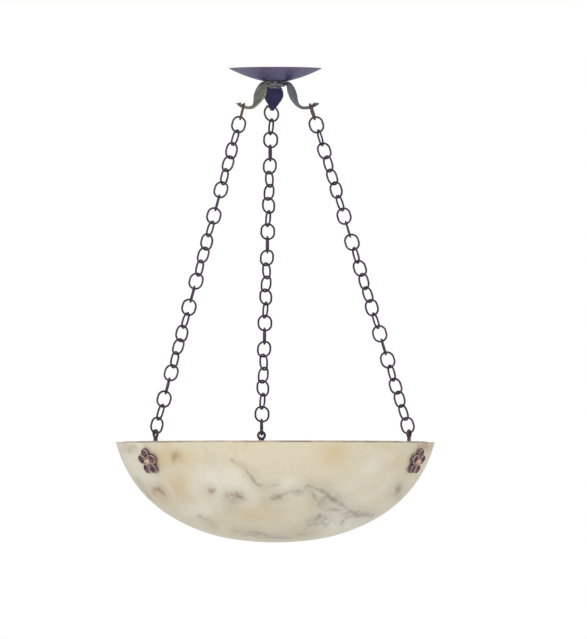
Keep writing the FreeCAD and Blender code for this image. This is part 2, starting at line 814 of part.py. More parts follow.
def arm_stations():
    """Centre line, direction, width and thickness down one arm, at 0 degrees."""
    root_z = ARM_ROOT_TOP - size("arm_thickness") / 2
    shoulder = Vector(size("hub_dia") / 2 + size("arm_shoulder_room"), 0, root_z)
    seat = Vector(size("trough_radius"), 0, -size("trough_depth"))
    fall = (
        shoulder,
        shoulder + Vector(size("arm_shoulder_pull"), 0, 0),
        seat - Vector(size("trough_pull"), 0, size("trough_dip")),
        seat,
    )
    rise = (fall[3] - fall[2]).normalize()
    tip = Vector(size("arm_tip_radius"), 0, seat.z + size("arm_tip_rise"))
    tail = (seat, seat + rise * ((tip - seat).Length * TAIL_BOW), tip)
    strap = size("arm_thickness")
    neck = size("arm_neck_width")
    thick = size("arm_neck_thickness")
    leaf = size("arm_leaf_width")
    widths = ((0, size("arm_shoulder_width")), (LEAF_PLACE, leaf), (NECK_PLACE, neck), (1, neck))
    thicknesses = ((0, strap), (THICK_PLACE, strap), (NECK_PLACE, thick), (1, thick))
    root = Vector(size("arm_root"), 0, root_z)
    found = [(root, ACROSS, size("arm_root_width"), strap)]
    for index in range(ARM_FALL_STATIONS):
        share = index / (ARM_FALL_STATIONS - 1)
        point, direction = bezier(fall, share)
        found.append((point, direction, eased(widths, share), eased(thicknesses, share)))
    tail_widths = ((0, neck), (TAIL_PLACE, neck), (1, size("arm_tip_width")))
    tail_thicknesses = ((0, thick), (TAIL_PLACE, thick), (1, size("arm_tip_thickness")))
    for index in range(1, ARM_TIP_STATIONS + 1):
        share = index / ARM_TIP_STATIONS
        point, direction = bezier(tail, share)
        found.append((point, direction, eased(tail_widths, share), eased(tail_thicknesses, share)))
    return found


def make_arm_shape():
    """One forged arm: a flat leaf that narrows to a neck and ends in a fishtail."""
    side = SIDEWAYS
    bevel = size("arm_bevel")
    sections = []
    for centre, direction, width, thickness in arm_stations():
        normal = side.cross(direction) * -1
        edge = side * (width / 2)
        shoulder = side * (width / 2 - bevel)
        face = normal * (thickness / 2)
        sections.append(
            [
                centre + edge,
                centre + shoulder + face,
                centre - shoulder + face,
                centre - edge,
                centre - shoulder - face,
                centre + shoulder - face,
            ]
        )
    arm = skin(sections)
    rivet = size("rivet_dia") / 2
    rivet_hole = peg(rivet, HUB_TOP - OVERRUN, ARM_ROOT_TOP + OVERRUN, BOLT_FLATS)
    rivet_hole.translate(ACROSS * size("rivet_radius"))
    return arm.cut(rivet_hole)


def make_arms():
    arm = make_arm_shape()
    for name, degrees in LEGS:
        add_shape(f"crown_arm_{name}", placed(arm, about_axis(degrees)))


def make_rivets():
    """Three rivets, flush in the arm and domed under the hub."""
    shank = size("rivet_dia") / 2 - size("stem_clearance")
    head = domed(RIVET_DOME, HUB_BOTTOM, -size("rivet_head_height"), size("rivet_head_dia") / 2)
    rivet = turned(head, BOLT_FLATS).fuse(peg(shank, HUB_BOTTOM, ARM_ROOT_TOP, BOLT_FLATS))
    rivet.translate(ACROSS * size("rivet_radius"))
    rivets = [placed(rivet, about_axis(degrees)) for _, degrees in LEGS]
    add_shape("arm_rivets", Part.makeCompound(rivets))


# ---------------------------------------------------------------- rings and chains


def make_rings():
    """A ring in the neck of each arm, turned a little as it hangs."""
    ring = bent_bar(round_line(RING_MEAN, RING_FLATS), wire_circumradius())
    for name, degrees in LEGS:
        seat, down, across, tangent = leg_frame(degrees)
        centre = seat + down * (RING_MEAN - RING_HANG)
        hanging = loop_placement(centre, down, across, tangent, RING_TURNS[name])
        add_shape(f"top_ring_{name}", placed(ring, hanging))


QUARTER_TURN = 90.0
HALF_TURN = 180.0


def make_chains():
    """Legs of oval links, each link turned by the same angle from the last.

    The turn is the one that brings the last link into the radial plane, where
    it passes through the eye of the hook.
    """
    end_radius = (size("link_width") - size("wire_dia")) / 2
    half_straight = LINK_LINE / 2 - end_radius
    link_line = loop_points(half_straight, end_radius, LINK_END_TURNS)
    link = bent_bar(link_line, wire_circumradius())
    for name, degrees in LEGS:
        seat, down, across, tangent = leg_frame(degrees)
        ring_turn = RING_TURNS[name]
        wanted = LINK_COUNT * size("link_turn") + ring_turn - QUARTER_TURN
        whole_turn = QUARTER_TURN - ring_turn + HALF_TURN * round(wanted / HALF_TURN)
        link_turn = whole_turn / LINK_COUNT
        first = seat + down * (RING_DROP - LINK_SEAT + LINK_LINE / 2)
        links = []
        for index in range(LINK_COUNT):
            centre = first + down * (LINK_PITCH * index)
            turn = ring_turn + link_turn * (index + 1)
            hanging = loop_placement(centre, down, across, tangent, turn)
            links.append(placed(link, hanging))
        if name == "back":
            add_shape("end_link_back", links.pop())
        add_shape(f"chain_{name}", Part.makeCompound(links))


# ---------------------------------------------------------------- bowl


def drill(radius, low, high):
    """Hole along the bolt of the leg at 0 degrees, between two depths."""
    return placed(peg(radius, low, high, BOLT_FLATS), FIX)


def make_bowl():
    """Turned stone bowl with three holes through its wall."""
    bowl = turned_wall([(r, z + RIM_Z) for r, z in bowl_profile()], BOWL_FLATS)
    hole = drill(size("bowl_hole_dia") / 2, PAD_FACE, ROSETTE_BACK)
    holes = [placed(hole, about_axis(degrees)) for _, degrees in LEGS]
    add_shape("alabaster_bowl", bowl.cut(holes))


# ---------------------------------------------------------------- hooks and rosettes


BOLT_HOLE_RADIUS = size("bolt_dia") / 2 + size("bolt_clearance")


def flat_bar(outline, width):
    """Bar of a given width whose side view in XZ is the outline."""
    side = Part.Face(closed_wire([point - SIDEWAYS * (width / 2) for point in outline]))
    return side.extrude(SIDEWAYS * width)


def make_hook_shape():
    """Flat strap bolted inside the wall, bent upright, with an eye on top."""
    half = size("hook_thickness") / 2
    bend = HOOK_BEND + UP * RIM_Z
    tail = FIX_CENTRE + FIX_OUT * PAD_MIDDLE - FIX_UP * size("hook_tail")
    eye = Vector(HOOK_RADIUS, 0, EYE_CENTRE_Z)
    top = eye - UP * EYE_MEAN
    half_turn = FIX_UP.getAngle(UP) / 2
    in_wall = FIX_OUT * half
    mitre = (FIX_OUT + ACROSS).normalize() * (half / math.cos(half_turn))
    upright = ACROSS * half
    outline = (
        tail + in_wall,
        bend + mitre,
        top + upright,
        top - upright,
        bend - mitre,
        tail - in_wall,
    )
    strap = flat_bar(outline, size("hook_width"))
    standing = frame_at(eye, UP, SIDEWAYS, UP.cross(SIDEWAYS))
    ring = placed(bent_bar(round_line(EYE_MEAN, EYE_FLATS), EYE_CIRCUMRADIUS), standing)
    hole = drill(BOLT_HOLE_RADIUS, PAD_BACK - OVERRUN, PAD_FACE + OVERRUN)
    return strap.fuse(ring).cut(hole).removeSplitter()


def make_rosette_shape():
    """Cast flower: dished petals with a raised rim round a boss, in bolt axes."""
    petal_radius = size("petal_dia") / 2
    petal_distance = size("rosette_dia") / 2 - petal_radius
    height = size("petal_height")
    floor = height - size("petal_dish")
    hollow = petal_radius - size("petal_rim")
    widening = hollow / 2 / size("petal_dish")
    foot = petal_radius - size("petal_rim") / 2
    petal = turned(((0, foot), (height, petal_radius)), PETAL_FLATS)
    dish = ((floor, hollow / 2), (height + OVERRUN, hollow + widening * OVERRUN))
    petal = petal.cut(turned(dish, PETAL_FLATS))
    petal.translate(ACROSS * petal_distance)
    flower = peg(size("boss_dia") / 2, 0, size("boss_height"), SMALL_FLATS)
    count = int(size("rosette_petals"))
    turns = [about_axis(QUARTER_TURN + 2 * HALF_TURN * index / count) for index in range(count)]
    flower = flower.fuse([placed(petal, turn) for turn in turns])
    bore = peg(BOLT_HOLE_RADIUS, -OVERRUN, height + OVERRUN, BOLT_FLATS)
    return flower.cut(bore).removeSplitter()


def make_bolt_shape():
    """Bolt from the flower's eye through the stone, in bolt axes."""
    seat = ROSETTE_BACK + size("boss_height")
    dome = domed(BOLT_DOME, seat, size("bolt_head_height"), size("bolt_head_dia") / 2)
    shank = peg(size("bolt_dia") / 2, NUT_END, seat, BOLT_FLATS)
    return turned(dome, BOLT_FLATS).fuse(shank)


def bored(radius, low, high, flats):
    """Washer or nut on a wall bolt, between two depths."""
    bore = peg(BOLT_HOLE_RADIUS, low - OVERRUN, high + OVERRUN, BOLT_FLATS)
    return peg(radius, low, high, flats).cut(bore)


def make_wall_fixings():
    """Hooks, rosettes, washers, bolts and nuts at the three fixings."""
    hook = make_hook_shape()
    rosette = make_rosette_shape()
    rosette.translate(Vector(0, 0, ROSETTE_BACK))
    bolt = make_bolt_shape()
    washers = []
    for face in (size("washer_gap"), PAD_FACE):
        top = face + size("fibre_washer_thickness")
        washers.append(bored(size("fibre_washer_dia") / 2, face, top, BOLT_FLATS))
    nut = bored(size("wall_nut_dia") / 2, NUT_BACK, TAB_BACK, HEXAGON_FLATS)
    for name, degrees in LEGS:
        add_shape(f"wall_hook_{name}", placed(hook, about_axis(degrees)))
        add_shape(f"rosette_{name}", placed(rosette, FIX, about_axis(degrees)))
    for label, fasteners in (
        ("wall_bolts", [bolt]),
        ("wall_nuts", [nut]),
        ("fibre_washers", washers),
    ):
        turns = [about_axis(degrees) for _, degrees in LEGS]
        solids = [placed(fastener, FIX, turn) for fastener in fasteners for turn in turns]
        add_shape(label, Part.makeCompound(solids))


# ---------------------------------------------------------------- lamps

SPIDER_TOP = RIM_Z - size("spider_depth")
SPIDER_BOTTOM = SPIDER_TOP - size("spider_thickness")
CLUSTER_BOTTOM = SPIDER_BOTTOM - size("cluster_height")


def make_spider():
    """Three-armed bracket held under the nuts of the wall bolts."""
    plate_radius = size("spider_plate_dia") / 2
    plate = peg(plate_radius, SPIDER_BOTTOM, SPIDER_TOP, LARGE_FLATS)
    face = FIX_CENTRE + FIX_OUT * PAD_BACK
    back = FIX_CENTRE + FIX_OUT * TAB_BACK
    inner = ACROSS * (plate_radius - size("spider_overlap"))
    outline = (
        face + FIX_UP * size("spider_tab"),
        back + FIX_UP * size("spider_tab"),
        back - FIX_UP * ((back.z - SPIDER_TOP) / FIX_UP.z),
        inner + UP * SPIDER_TOP,
        inner + UP * SPIDER_BOTTOM,
        face - FIX_UP * ((face.z - SPIDER_BOTTOM) / FIX_UP.z),
    )
    arm = flat_bar(outline, size("spider_arm_width"))
    arm = arm.cut(drill(BOLT_HOLE_RADIUS, TAB_BACK - OVERRUN, PAD_BACK + OVERRUN))
    spider = plate.fuse([placed(arm, about_axis(degrees)) for _, degrees in LEGS])
    bore_radius = size("gland_dia") / 2 + size("stem_clearance")
    bore = peg(bore_radius, SPIDER_BOTTOM - OVERRUN, SPIDER_TOP + OVERRUN, SMALL_FLATS)
    add_shape("lamp_spider", spider.cut(bore).removeSplitter())


# Share of a hexagon's corner radius at which its sides lie.
HEXAGON_INSET = math.cos(math.pi / HEXAGON_FLATS)


def cluster_radii():
    """Corner radii of the body's underside and top, which lean with the lamps."""
    top = size("cluster_dia") / 2
    lean = math.tan(math.radians(size("holder_dip"))) / HEXAGON_INSET
    return top - size("cluster_height") * lean, top


def lamp_axis(degrees):
    """Frame whose Z runs out of the body's facet along a lampholder."""
    radial = outward(degrees)
    dip = math.radians(size("holder_dip"))
    axis = radial * math.cos(dip) - UP * math.sin(dip)
    side = UP.cross(radial)
    facet = sum(cluster_radii()) / 2 * HEXAGON_INSET
    start = radial * facet + UP * (CLUSTER_BOTTOM + size("cluster_height") / 2)
    return frame_at(start + axis * size("seat_gap"), side, axis.cross(side), axis)


def make_gland():
    """Cord gland through the middle of the bracket, and its nut."""
    stem = size("gland_dia") / 2
    make_collar(
        "gland_nut",
        HEXAGON_FLATS,
        "Sizes.gland_nut_dia / 2",
        "Sizes.gland_dia / 2 + Sizes.stem_clearance",
        "Sizes.rim_height - Sizes.spider_depth",
        "Sizes.gland_nut_height",
    )
    height = size("spider_thickness") + size("gland_nut_height") + size("gland_height")
    tube = turned(domed(GLAND_TAPER, SPIDER_BOTTOM, height, stem), SMALL_FLATS)
    top = SPIDER_BOTTOM + height
    bore = peg(size("gland_bore") / 2, SPIDER_BOTTOM + OVERRUN, top + OVERRUN, SMALL_FLATS)
    add_shape("cord_gland", tube.cut(bore))


def make_holder_shape():
    """Lampholder along Z, with the well that the bulb's cap sits in."""
    radius = size("holder_dia") / 2
    length = size("holder_length")
    well = length - size("bulb_cap_length") - size("seat_gap")
    shell = turned(domed(HOLDER_SHELL, 0.0, length, radius), SMALL_FLATS)
    return shell.cut(peg(radius - size("holder_wall"), well, length + OVERRUN, SMALL_FLATS))


def make_bulb_shape():
    """Bulb along Z in its lampholder: a straight cap, then the glass."""
    cap = size("bulb_cap_dia") / 2
    globe = size("bulb_dia") / 2
    cap_end = size("holder_length") - size("bulb_cap_length")
    glass_start = size("holder_length") + size("seat_gap")
    glass_length = cap_end + size("bulb_length") - glass_start
    glass = domed(BULB_GLASS, glass_start, glass_length, globe)
    return turned([(cap_end, cap), (glass_start, cap)] + glass, SMALL_FLATS)


def make_lamps():
    """Cluster body, gland, lampholders and bulbs."""
    underside, top = cluster_radii()
    body = turned(((CLUSTER_BOTTOM, underside), (SPIDER_BOTTOM, top)), HEXAGON_FLATS)
    add_shape("lamp_cluster", body)
    make_gland()
    holder = make_holder_shape()
    bulb = make_bulb_shape()
    for name, degrees in LAMP_ANGLES:
        axis = lamp_axis(degrees)
        add_shape(f"lampholder_{name}", placed(holder, axis))
        add_shape(f"bulb_{name}", placed(bulb, axis))


# ---------------------------------------------------------------- the assembly

make_canopy()
make_crossbar()
make_stem_and_nuts()
make_hub()
make_arms()
make_rivets()
make_rings()
make_chains()
make_bowl()
make_wall_fixings()
make_spider()
make_lamps()
document.recompute()

for item in document.Objects:
    if {"Invalid", "Error"} & set(item.State):
        raise RuntimeError(f"{item.Label} could not be built: {item.State}")
for piece in pieces:
    if piece.Shape.isNull() or not piece.Shape.isValid():
        raise RuntimeError(f"{piece.Label} has no valid shape")

os.makedirs("parts", exist_ok=True)
for piece in pieces:
    piece.Shape.exportStep(f"parts/{piece.Label}.step")

print(f"{len(pieces)} pieces")
slope = math.degrees(LEG_SLOPE)
print(f"leg slope {slope:.3f} degrees, length {LEG_LENGTH:.3f}, pitch {LINK_PITCH:.3f}")
print(f"rim at {RIM_Z:.3f}, leg end at radius {LEG_END_RADIUS:.3f}, height {LEG_END_Z:.3f}")
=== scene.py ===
"""Looks of a hanging alabaster bowl pendant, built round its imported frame.

Lengths are written in millimetres and become metres where a mesh is made.  The
origin is the middle of the canopy's rim, Z is up, and the three legs stand at
210 degrees (left), 330 degrees (right) and 90 degrees (back) about the axis.
"""

import json
import math
import random

import bmesh
import bpy
from mathutils import Matrix, Vector, noise


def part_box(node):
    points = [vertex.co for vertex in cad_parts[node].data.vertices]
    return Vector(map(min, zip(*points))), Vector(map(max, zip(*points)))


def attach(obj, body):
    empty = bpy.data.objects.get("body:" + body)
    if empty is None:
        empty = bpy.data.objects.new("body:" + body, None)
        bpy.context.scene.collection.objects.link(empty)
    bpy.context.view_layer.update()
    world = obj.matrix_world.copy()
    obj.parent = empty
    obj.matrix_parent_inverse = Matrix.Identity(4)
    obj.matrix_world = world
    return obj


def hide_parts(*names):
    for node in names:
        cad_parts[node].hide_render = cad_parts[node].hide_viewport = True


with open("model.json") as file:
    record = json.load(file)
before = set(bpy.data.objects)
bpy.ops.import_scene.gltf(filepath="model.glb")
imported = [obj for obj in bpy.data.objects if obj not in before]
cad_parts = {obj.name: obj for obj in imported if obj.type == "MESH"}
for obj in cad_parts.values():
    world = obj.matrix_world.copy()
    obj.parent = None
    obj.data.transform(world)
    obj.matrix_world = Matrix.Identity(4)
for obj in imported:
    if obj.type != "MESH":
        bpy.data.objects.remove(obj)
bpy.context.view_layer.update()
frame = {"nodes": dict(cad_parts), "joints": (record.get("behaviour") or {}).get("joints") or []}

MM = 0.001
UP = Vector((0, 0, 1))
ACROSS = Vector((1, 0, 0))
SIDEWAYS = Vector((0, 1, 0))
LEGS = {"left": 210.0, "right": 330.0, "back": 90.0}
scene = bpy.context.scene

# The noise behind every dent starts from the clock unless it has a seed.
NOISE_SEED = 7
noise.seed_set(NOISE_SEED)

# ---------------------------------------------------------------- camera

# The picture: 587 by 639 pixels, 1.4326 mm each at the lamp.
PIXEL = 1.4326
PICTURE_LONG = 639
CAMERA_TURN = -5.5
CAMERA_DISTANCE = 20000.0
CAMERA_HEIGHT = -672.0
SENSOR = 36.0
AIM_RIGHT = 26.0
AIM_HEIGHT = -360.0

turn = math.radians(CAMERA_TURN)
VIEW_RIGHT = Vector((math.cos(turn), math.sin(turn), 0))
VIEW_FORWARD = Vector((-math.sin(turn), math.cos(turn), 0))
camera = bpy.data.objects.new("camera", bpy.data.cameras.new("camera"))
scene.collection.objects.link(camera)
camera.data.sensor_width = SENSOR
camera.data.lens = SENSOR * CAMERA_DISTANCE / (PICTURE_LONG * PIXEL)
camera.data.clip_start = 1.0
camera.data.clip_end = 100.0
place = (UP * CAMERA_HEIGHT - VIEW_FORWARD * CAMERA_DISTANCE) * MM
aim = (UP * AIM_HEIGHT + VIEW_RIGHT * AIM_RIGHT) * MM
camera.location = place
camera.rotation_mode = "QUATERNION"
camera.rotation_quaternion = (aim - place).to_track_quat("-Z", "Y")
scene.camera = camera
scene.view_settings.view_transform = "Standard"

# ---------------------------------------------------------------- materials


class Nodes:
    """Short calls that add nodes to a tree and link them."""

    def __init__(self, tree):
        self.tree = tree

    def put(self, socket, value):
        if isinstance(value, bpy.types.NodeSocket):
            self.tree.links.new(value, socket)
        elif value is not None:
            socket.default_value = value

    def node(self, kind, *inputs, output=0, **settings):
        made = self.tree.nodes.new(kind)
        for name, value in settings.items():
            setattr(made, name, value)
        for socket, value in zip(made.inputs, inputs):
            self.put(socket, value)
        return made.outputs[output]

    def fill(self, made, **inputs):
        """Set a node's inputs by name, with spaces as underlines."""
        for name, value in inputs.items():
            self.put(made.inputs[name.replace("_", " ")], value)

    def math(self, operation, a, b=None, c=None, clamp=False):
        return self.node("ShaderNodeMath", a, b, c, operation=operation, use_clamp=clamp)

    def times(self, a, b, clamp=False):
        return self.math("MULTIPLY", a, b, clamp=clamp)

    def vector(self, operation, a, b=None, output=0):
        return self.node("ShaderNodeVectorMath", a, b, operation=operation, output=output)

    def scaled(self, vector, factor):
        made = self.vector("SCALE", vector)
        self.fill(made.node, Scale=factor)
        return made


class Paint(Nodes):
    """Nodes of one material, round its shader."""

    def __init__(self, name):
        self.material = bpy.data.materials.new(name)
        self.material.use_nodes = True
        super().__init__(self.material.node_tree)
        self.shader = self.tree.nodes["Principled BSDF"]

    def where(self):
        """Place in the lamp's frame, in metres."""
        return self.node("ShaderNodeTexCoord", output=3)

    def noise(self, where, scale, detail=2.0, roughness=0.5, distortion=0.0, colour=False):
        made = self.tree.nodes.new("ShaderNodeTexNoise")
        self.fill(made, Vector=where, Scale=scale, Detail=detail)
        self.fill(made, Roughness=roughness, Distortion=distortion)
        return made.outputs["Color" if colour else "Fac"]

    def band(self, value, low, high, to_low=0.0, to_high=1.0):
        """Eased from to_low to to_high as the value goes from low to high."""
        made = self.tree.nodes.new("ShaderNodeMapRange")
        made.interpolation_type = "SMOOTHSTEP"
        self.fill(made, Value=value, From_Min=low, From_Max=high, To_Min=to_low, To_Max=to_high)
        return made.outputs["Result"]

    def mix(self, share, a, b):
        """Mix of two colours."""
        made = self.tree.nodes.new("ShaderNodeMix")
        made.data_type = "RGBA"
        self.put(made.inputs[0], share)
        for index, colour in ((6, a), (7, b)):
            plain = isinstance(colour, tuple)
            self.put(made.inputs[index], (*colour, 1) if plain else colour)
        return made.outputs[2]

    def bump(self, height, strength, distance):
        made = self.tree.nodes.new("ShaderNodeBump")
        self.fill(made, Strength=strength, Distance=distance, Height=height)
        self.fill(self.shader, Normal=made.outputs["Normal"])


def srgb(red, green, blue):
    """Linear colour of an 8-bit display colour."""
    parts = [part / 255 for part in (red, green, blue)]
    return tuple(p / 12.92 if p <= 0.04045 else ((p + 0.055) / 1.055) ** 2.4 for p in parts)


# ---- alabaster

# Veins on the front of the bowl: points as (to the right of the axis, below the
# rim), and a half width for each run between two points.
VEINS = (
    (((-64, 27), (-45, 35), (-36, 47), (-29, 57), (-20, 65), (-3, 80)), (0.8, 1.1, 2.0, 2.2, 1.4)),
    (((-29, 57), (-13, 66), (3, 63)), (1.8, 1.6)),
    (((-3, 80), (18, 73), (35, 67), (49, 63)), (1.2, 1.6, 2.0)),
    (((49, 63), (66, 69), (79, 80), (94, 91), (109, 99)), (2.4, 3.0, 3.4, 3.2)),
    (((109, 99), (119, 105), (141, 105)), (2.8, 2.0)),
    (((49, 63), (55, 76), (61, 88), (65, 99)), (2.0, 2.4, 2.8)),
    (((65, 99), (59, 112), (50, 121), (39, 130), (30, 133)), (3.0, 2.4, 3.2, 2.4)),
    (((65, 99), (82, 96), (94, 98), (102, 104), (95, 116)), (2.0, 2.4, 2.2, 1.4)),
    (((-93, 69), (-90, 71)), (2.2,)),
    (((-68, 76), (-48, 80)), (2.8,)),
    (((-66, 84), (-60, 88)), (2.2,)),
    (((-6, 80), (6, 81)), (3.2,)),
    (((178, 64), (172, 76)), (2.4,)),
    (((-108, 106), (-96, 112), (-86, 120)), (1.0, 1.4)),
    (((-57, 127), (-27, 129), (-9, 136), (21, 137)), (1.2, 1.6, 2.2)),
    (((-197, 54), (-179, 81)), (1.4,)),
    (((-170, 68), (-159, 76)), (2.2,)),
)

# Clouds on the front of the bowl: centre as above, half width and half height.
WARM_CLOUDS = (
    ((-147, 63), (46, 30)),
    ((-30, 107), (48, 20)),
    ((-150, 22), (66, 20)),
    ((78, 14), (40, 24)),
    ((160, 26), (34, 24)),
)
PALE_CLOUDS = (
    ((-72, 66), (66, 44)),
    ((90, 113), (54, 26)),
    ((-105, 98), (40, 20)),
)
BROWN_STAINS = (
    ((-56, 80), (26, 13)),
    ((-90, 70), (10, 7)),
    ((1, 80), (13, 8)),
    ((-166, 70), (15, 9)),
    ((176, 70), (10, 20)),
    ((214, 6), (22, 16)),
    ((-208, 10), (20, 12)),
    ((-140, 24), (12, 16)),
)
GREY_STAINS = (
    ((78, 84), (27, 20)),
    ((66, 114), (30, 14)),
    ((112, 103), (34, 9)),
    ((-24, 134), (46, 7)),
    ((36, 72), (20, 8)),
)


def group_of(name, vectors, values, build):
    """Node group from some vectors and values to one value."""
    tree = bpy.data.node_groups.new(name, "ShaderNodeTree")
    for kind, titles in (("NodeSocketVector", vectors), ("NodeSocketFloat", values)):
        for title in titles:
            tree.interface.new_socket(title, in_out="INPUT", socket_type=kind)
    tree.interface.new_socket("Value", in_out="OUTPUT", socket_type="NodeSocketFloat")
    given = list(tree.nodes.new("NodeGroupInput").outputs)[: len(vectors) + len(values)]
    n = Nodes(tree)
    n.put(tree.nodes.new("NodeGroupOutput").inputs[0], build(n, *given))
    return tree


def in_turn(n, place, so_far):
    """Place that waits for the step before, as the renderer's stack is small."""
    return n.vector("ADD", place, n.times(so_far, 1e-6))


def run_distance(n, place, start, along, inverse, width, nearest):
    """Distance to the nearest run so far, as a share of that run's half width."""
    off = n.vector("SUBTRACT", in_turn(n, place, nearest), start)
    share = n.times(n.vector("DOT_PRODUCT", off, inverse, output=1), 1.0, clamp=True)
    away = n.vector("DISTANCE", off, n.vector("MULTIPLY", along, share), output=1)
    return n.math("MINIMUM", n.math("DIVIDE", away, width), nearest)


def cloud_share(n, place, centre, spread, most):
    """Most of any cloud so far: 1 in a cloud's middle, 0 at its edge."""
    off = n.vector("SUBTRACT", in_turn(n, place, most), centre)
    away = n.vector("LENGTH", n.vector("DIVIDE", off, spread), output=1)
    return n.math("MAXIMUM", n.math("SUBTRACT", 1.0, away), most)


RIM_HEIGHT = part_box("alabaster_bowl")[1].z / MM
FAR = 99.0


def make_alabaster():
    """Cream stone with warm and pale clouds and brown-grey veins.

    The veins of the front lie where they were seen; the rest of the stone has
    its own, from folds of a noise in the solid.
    """
    n = Paint("alabaster")
    run = group_of(
        "vein_run", ("Place", "Start", "Along", "Inverse"), ("Width", "Nearest"), run_distance
    )
    cloud = group_of("cloud", ("Place", "Centre", "Spread"), ("Most",), cloud_share)
    where = n.where()
    solid = n.scaled(where, 1 / MM)

    def wander(scale, amount):
        colour = n.noise(where, scale, 3.0, colour=True)
        return n.scaled(n.vector("SUBTRACT", colour, (0.5, 0.5, 0.5)), amount)

    def flat(wandering):
        """Place across the front and below the rim, with the given wander."""
        bent = n.vector("ADD", solid, wandering)
        right = n.vector("DOT_PRODUCT", bent, tuple(VIEW_RIGHT), output=1)
        height = n.node("ShaderNodeSeparateXYZ", bent, output=2)
        return n.node("ShaderNodeCombineXYZ", right, n.math("SUBTRACT", RIM_HEIGHT, height))

    fine = flat(n.vector("ADD", wander(22.0, 9.0), wander(120.0, 5.0)))
    broad = flat(n.vector("ADD", wander(12.0, 46.0), wander(60.0, 12.0)))
    nearest = FAR
    for points, widths in VEINS:
        for begin, end, width in zip(points, points[1:], widths):
            begin = Vector((*begin, 0))
            along = Vector((*end, 0)) - begin
            given = (fine, begin, along, along / along.length_squared, width, nearest)
            nearest = n.node("ShaderNodeGroup", *given, node_tree=run)

    def clouds(places, bent=broad):
        most = 0.0
        for centre, spread in places:
            given = (bent, (*centre, 0), (*spread, 1), most)
            most = n.node("ShaderNodeGroup", *given, node_tree=cloud)
        return most

    depth = n.vector("DOT_PRODUCT", solid, tuple(VIEW_FORWARD), output=1)
    front = n.band(depth, 30.0, -30.0)
    elsewhere = n.math("SUBTRACT", 1.0, front)
    patch = n.noise(where, 9.0, 3.0, 0.55, 0.6)
    grain = n.noise(where, 300.0, 3.0)
    warm = n.times(clouds(WARM_CLOUDS), front)
    warm = n.math("MAXIMUM", warm, n.times(n.band(patch, 0.52, 0.7), 0.7), clamp=True)
    pale = n.times(clouds(PALE_CLOUDS), front)
    other = n.noise(where, 7.0, 3.0, 0.5, 0.4)
    pale = n.math("MAXIMUM", pale, n.times(n.band(other, 0.52, 0.68), 0.6), clamp=True)
    tone = n.mix(n.band(grain, 0.3, 0.7), srgb(216, 206, 180), srgb(221, 212, 188))
    tone = n.mix(n.times(n.band(warm, 0.0, 0.9), 0.72), tone, srgb(212, 190, 146))
    tone = n.mix(n.times(n.band(pale, 0.0, 0.8), 0.85), tone, srgb(231, 227, 214))
    speckle = n.band(n.noise(where, 95.0, 4.0, 0.65), 0.36, 0.6, 0.15, 1.0)
    for stains, colour, strength in (
        (GREY_STAINS, srgb(158, 152, 142), 0.62),
        (BROWN_STAINS, srgb(158, 128, 92), 0.66),
    ):
        stain = n.times(n.band(clouds(stains, fine), 0.0, 0.9), speckle)
        stain = n.times(n.times(stain, front), strength)
        tone = n.mix(stain, tone, colour)
    broken = n.band(n.noise(where, 45.0, 4.0, 0.65), 0.32, 0.6, 0.35, 1.0)
    core = n.times(n.band(nearest, 2.4, 0.0), broken)
    smoke = n.times(n.band(nearest, 9.0, 0.4), 0.34)
    drawn = n.times(n.math("MAXIMUM", core, smoke), front)
    fold = n.noise(where, 7.5, 4.0, 0.55, 1.2)
    fold = n.math("ABSOLUTE", n.math("SUBTRACT", fold, 0.5))
    share = n.band(n.noise(where, 5.0, 2.0), 0.42, 0.56)
    wild = n.times(n.times(n.band(fold, 0.036, 0.0), share), broken)
    wild = n.times(wild, n.math("MAXIMUM", elsewhere, 0.12))
    vein = n.math("MAXIMUM", drawn, wild, clamp=True)
    across = n.vector("DOT_PRODUCT", where, tuple(VIEW_RIGHT), output=1)
    brown = n.mix(n.band(across, -0.06, 0.06), srgb(140, 118, 90), srgb(132, 127, 120))
    tone = n.mix(n.times(vein, 0.62), tone, brown)
    # Darker brown-grey line along the top of the lip, broken up in patches by noise.
    height = n.node("ShaderNodeSeparateXYZ", where, output=2)
    edge = n.band(height, (RIM_HEIGHT - 2.4) * MM, (RIM_HEIGHT - 0.6) * MM)
    edge_and_patch_tone = n.band(n.noise(where, 40.0, 3.0), 0.3, 0.62, 0.35, 0.9)
    tone = n.mix(n.times(edge, edge_and_patch_tone), tone, srgb(128, 114, 96))
    n.fill(
        n.shader,
        Base_Color=tone,
        Roughness=n.band(grain, 0.2, 0.8, 0.3, 0.42),
        Subsurface_Weight=0.12,
        Subsurface_Radius=(0.9, 0.6, 0.35),
        Subsurface_Scale=0.006,
        Coat_Weight=0.08,
    )
    n.bump(n.noise(where, 160.0, 4.0), 0.12, 0.0004)
    return n.material


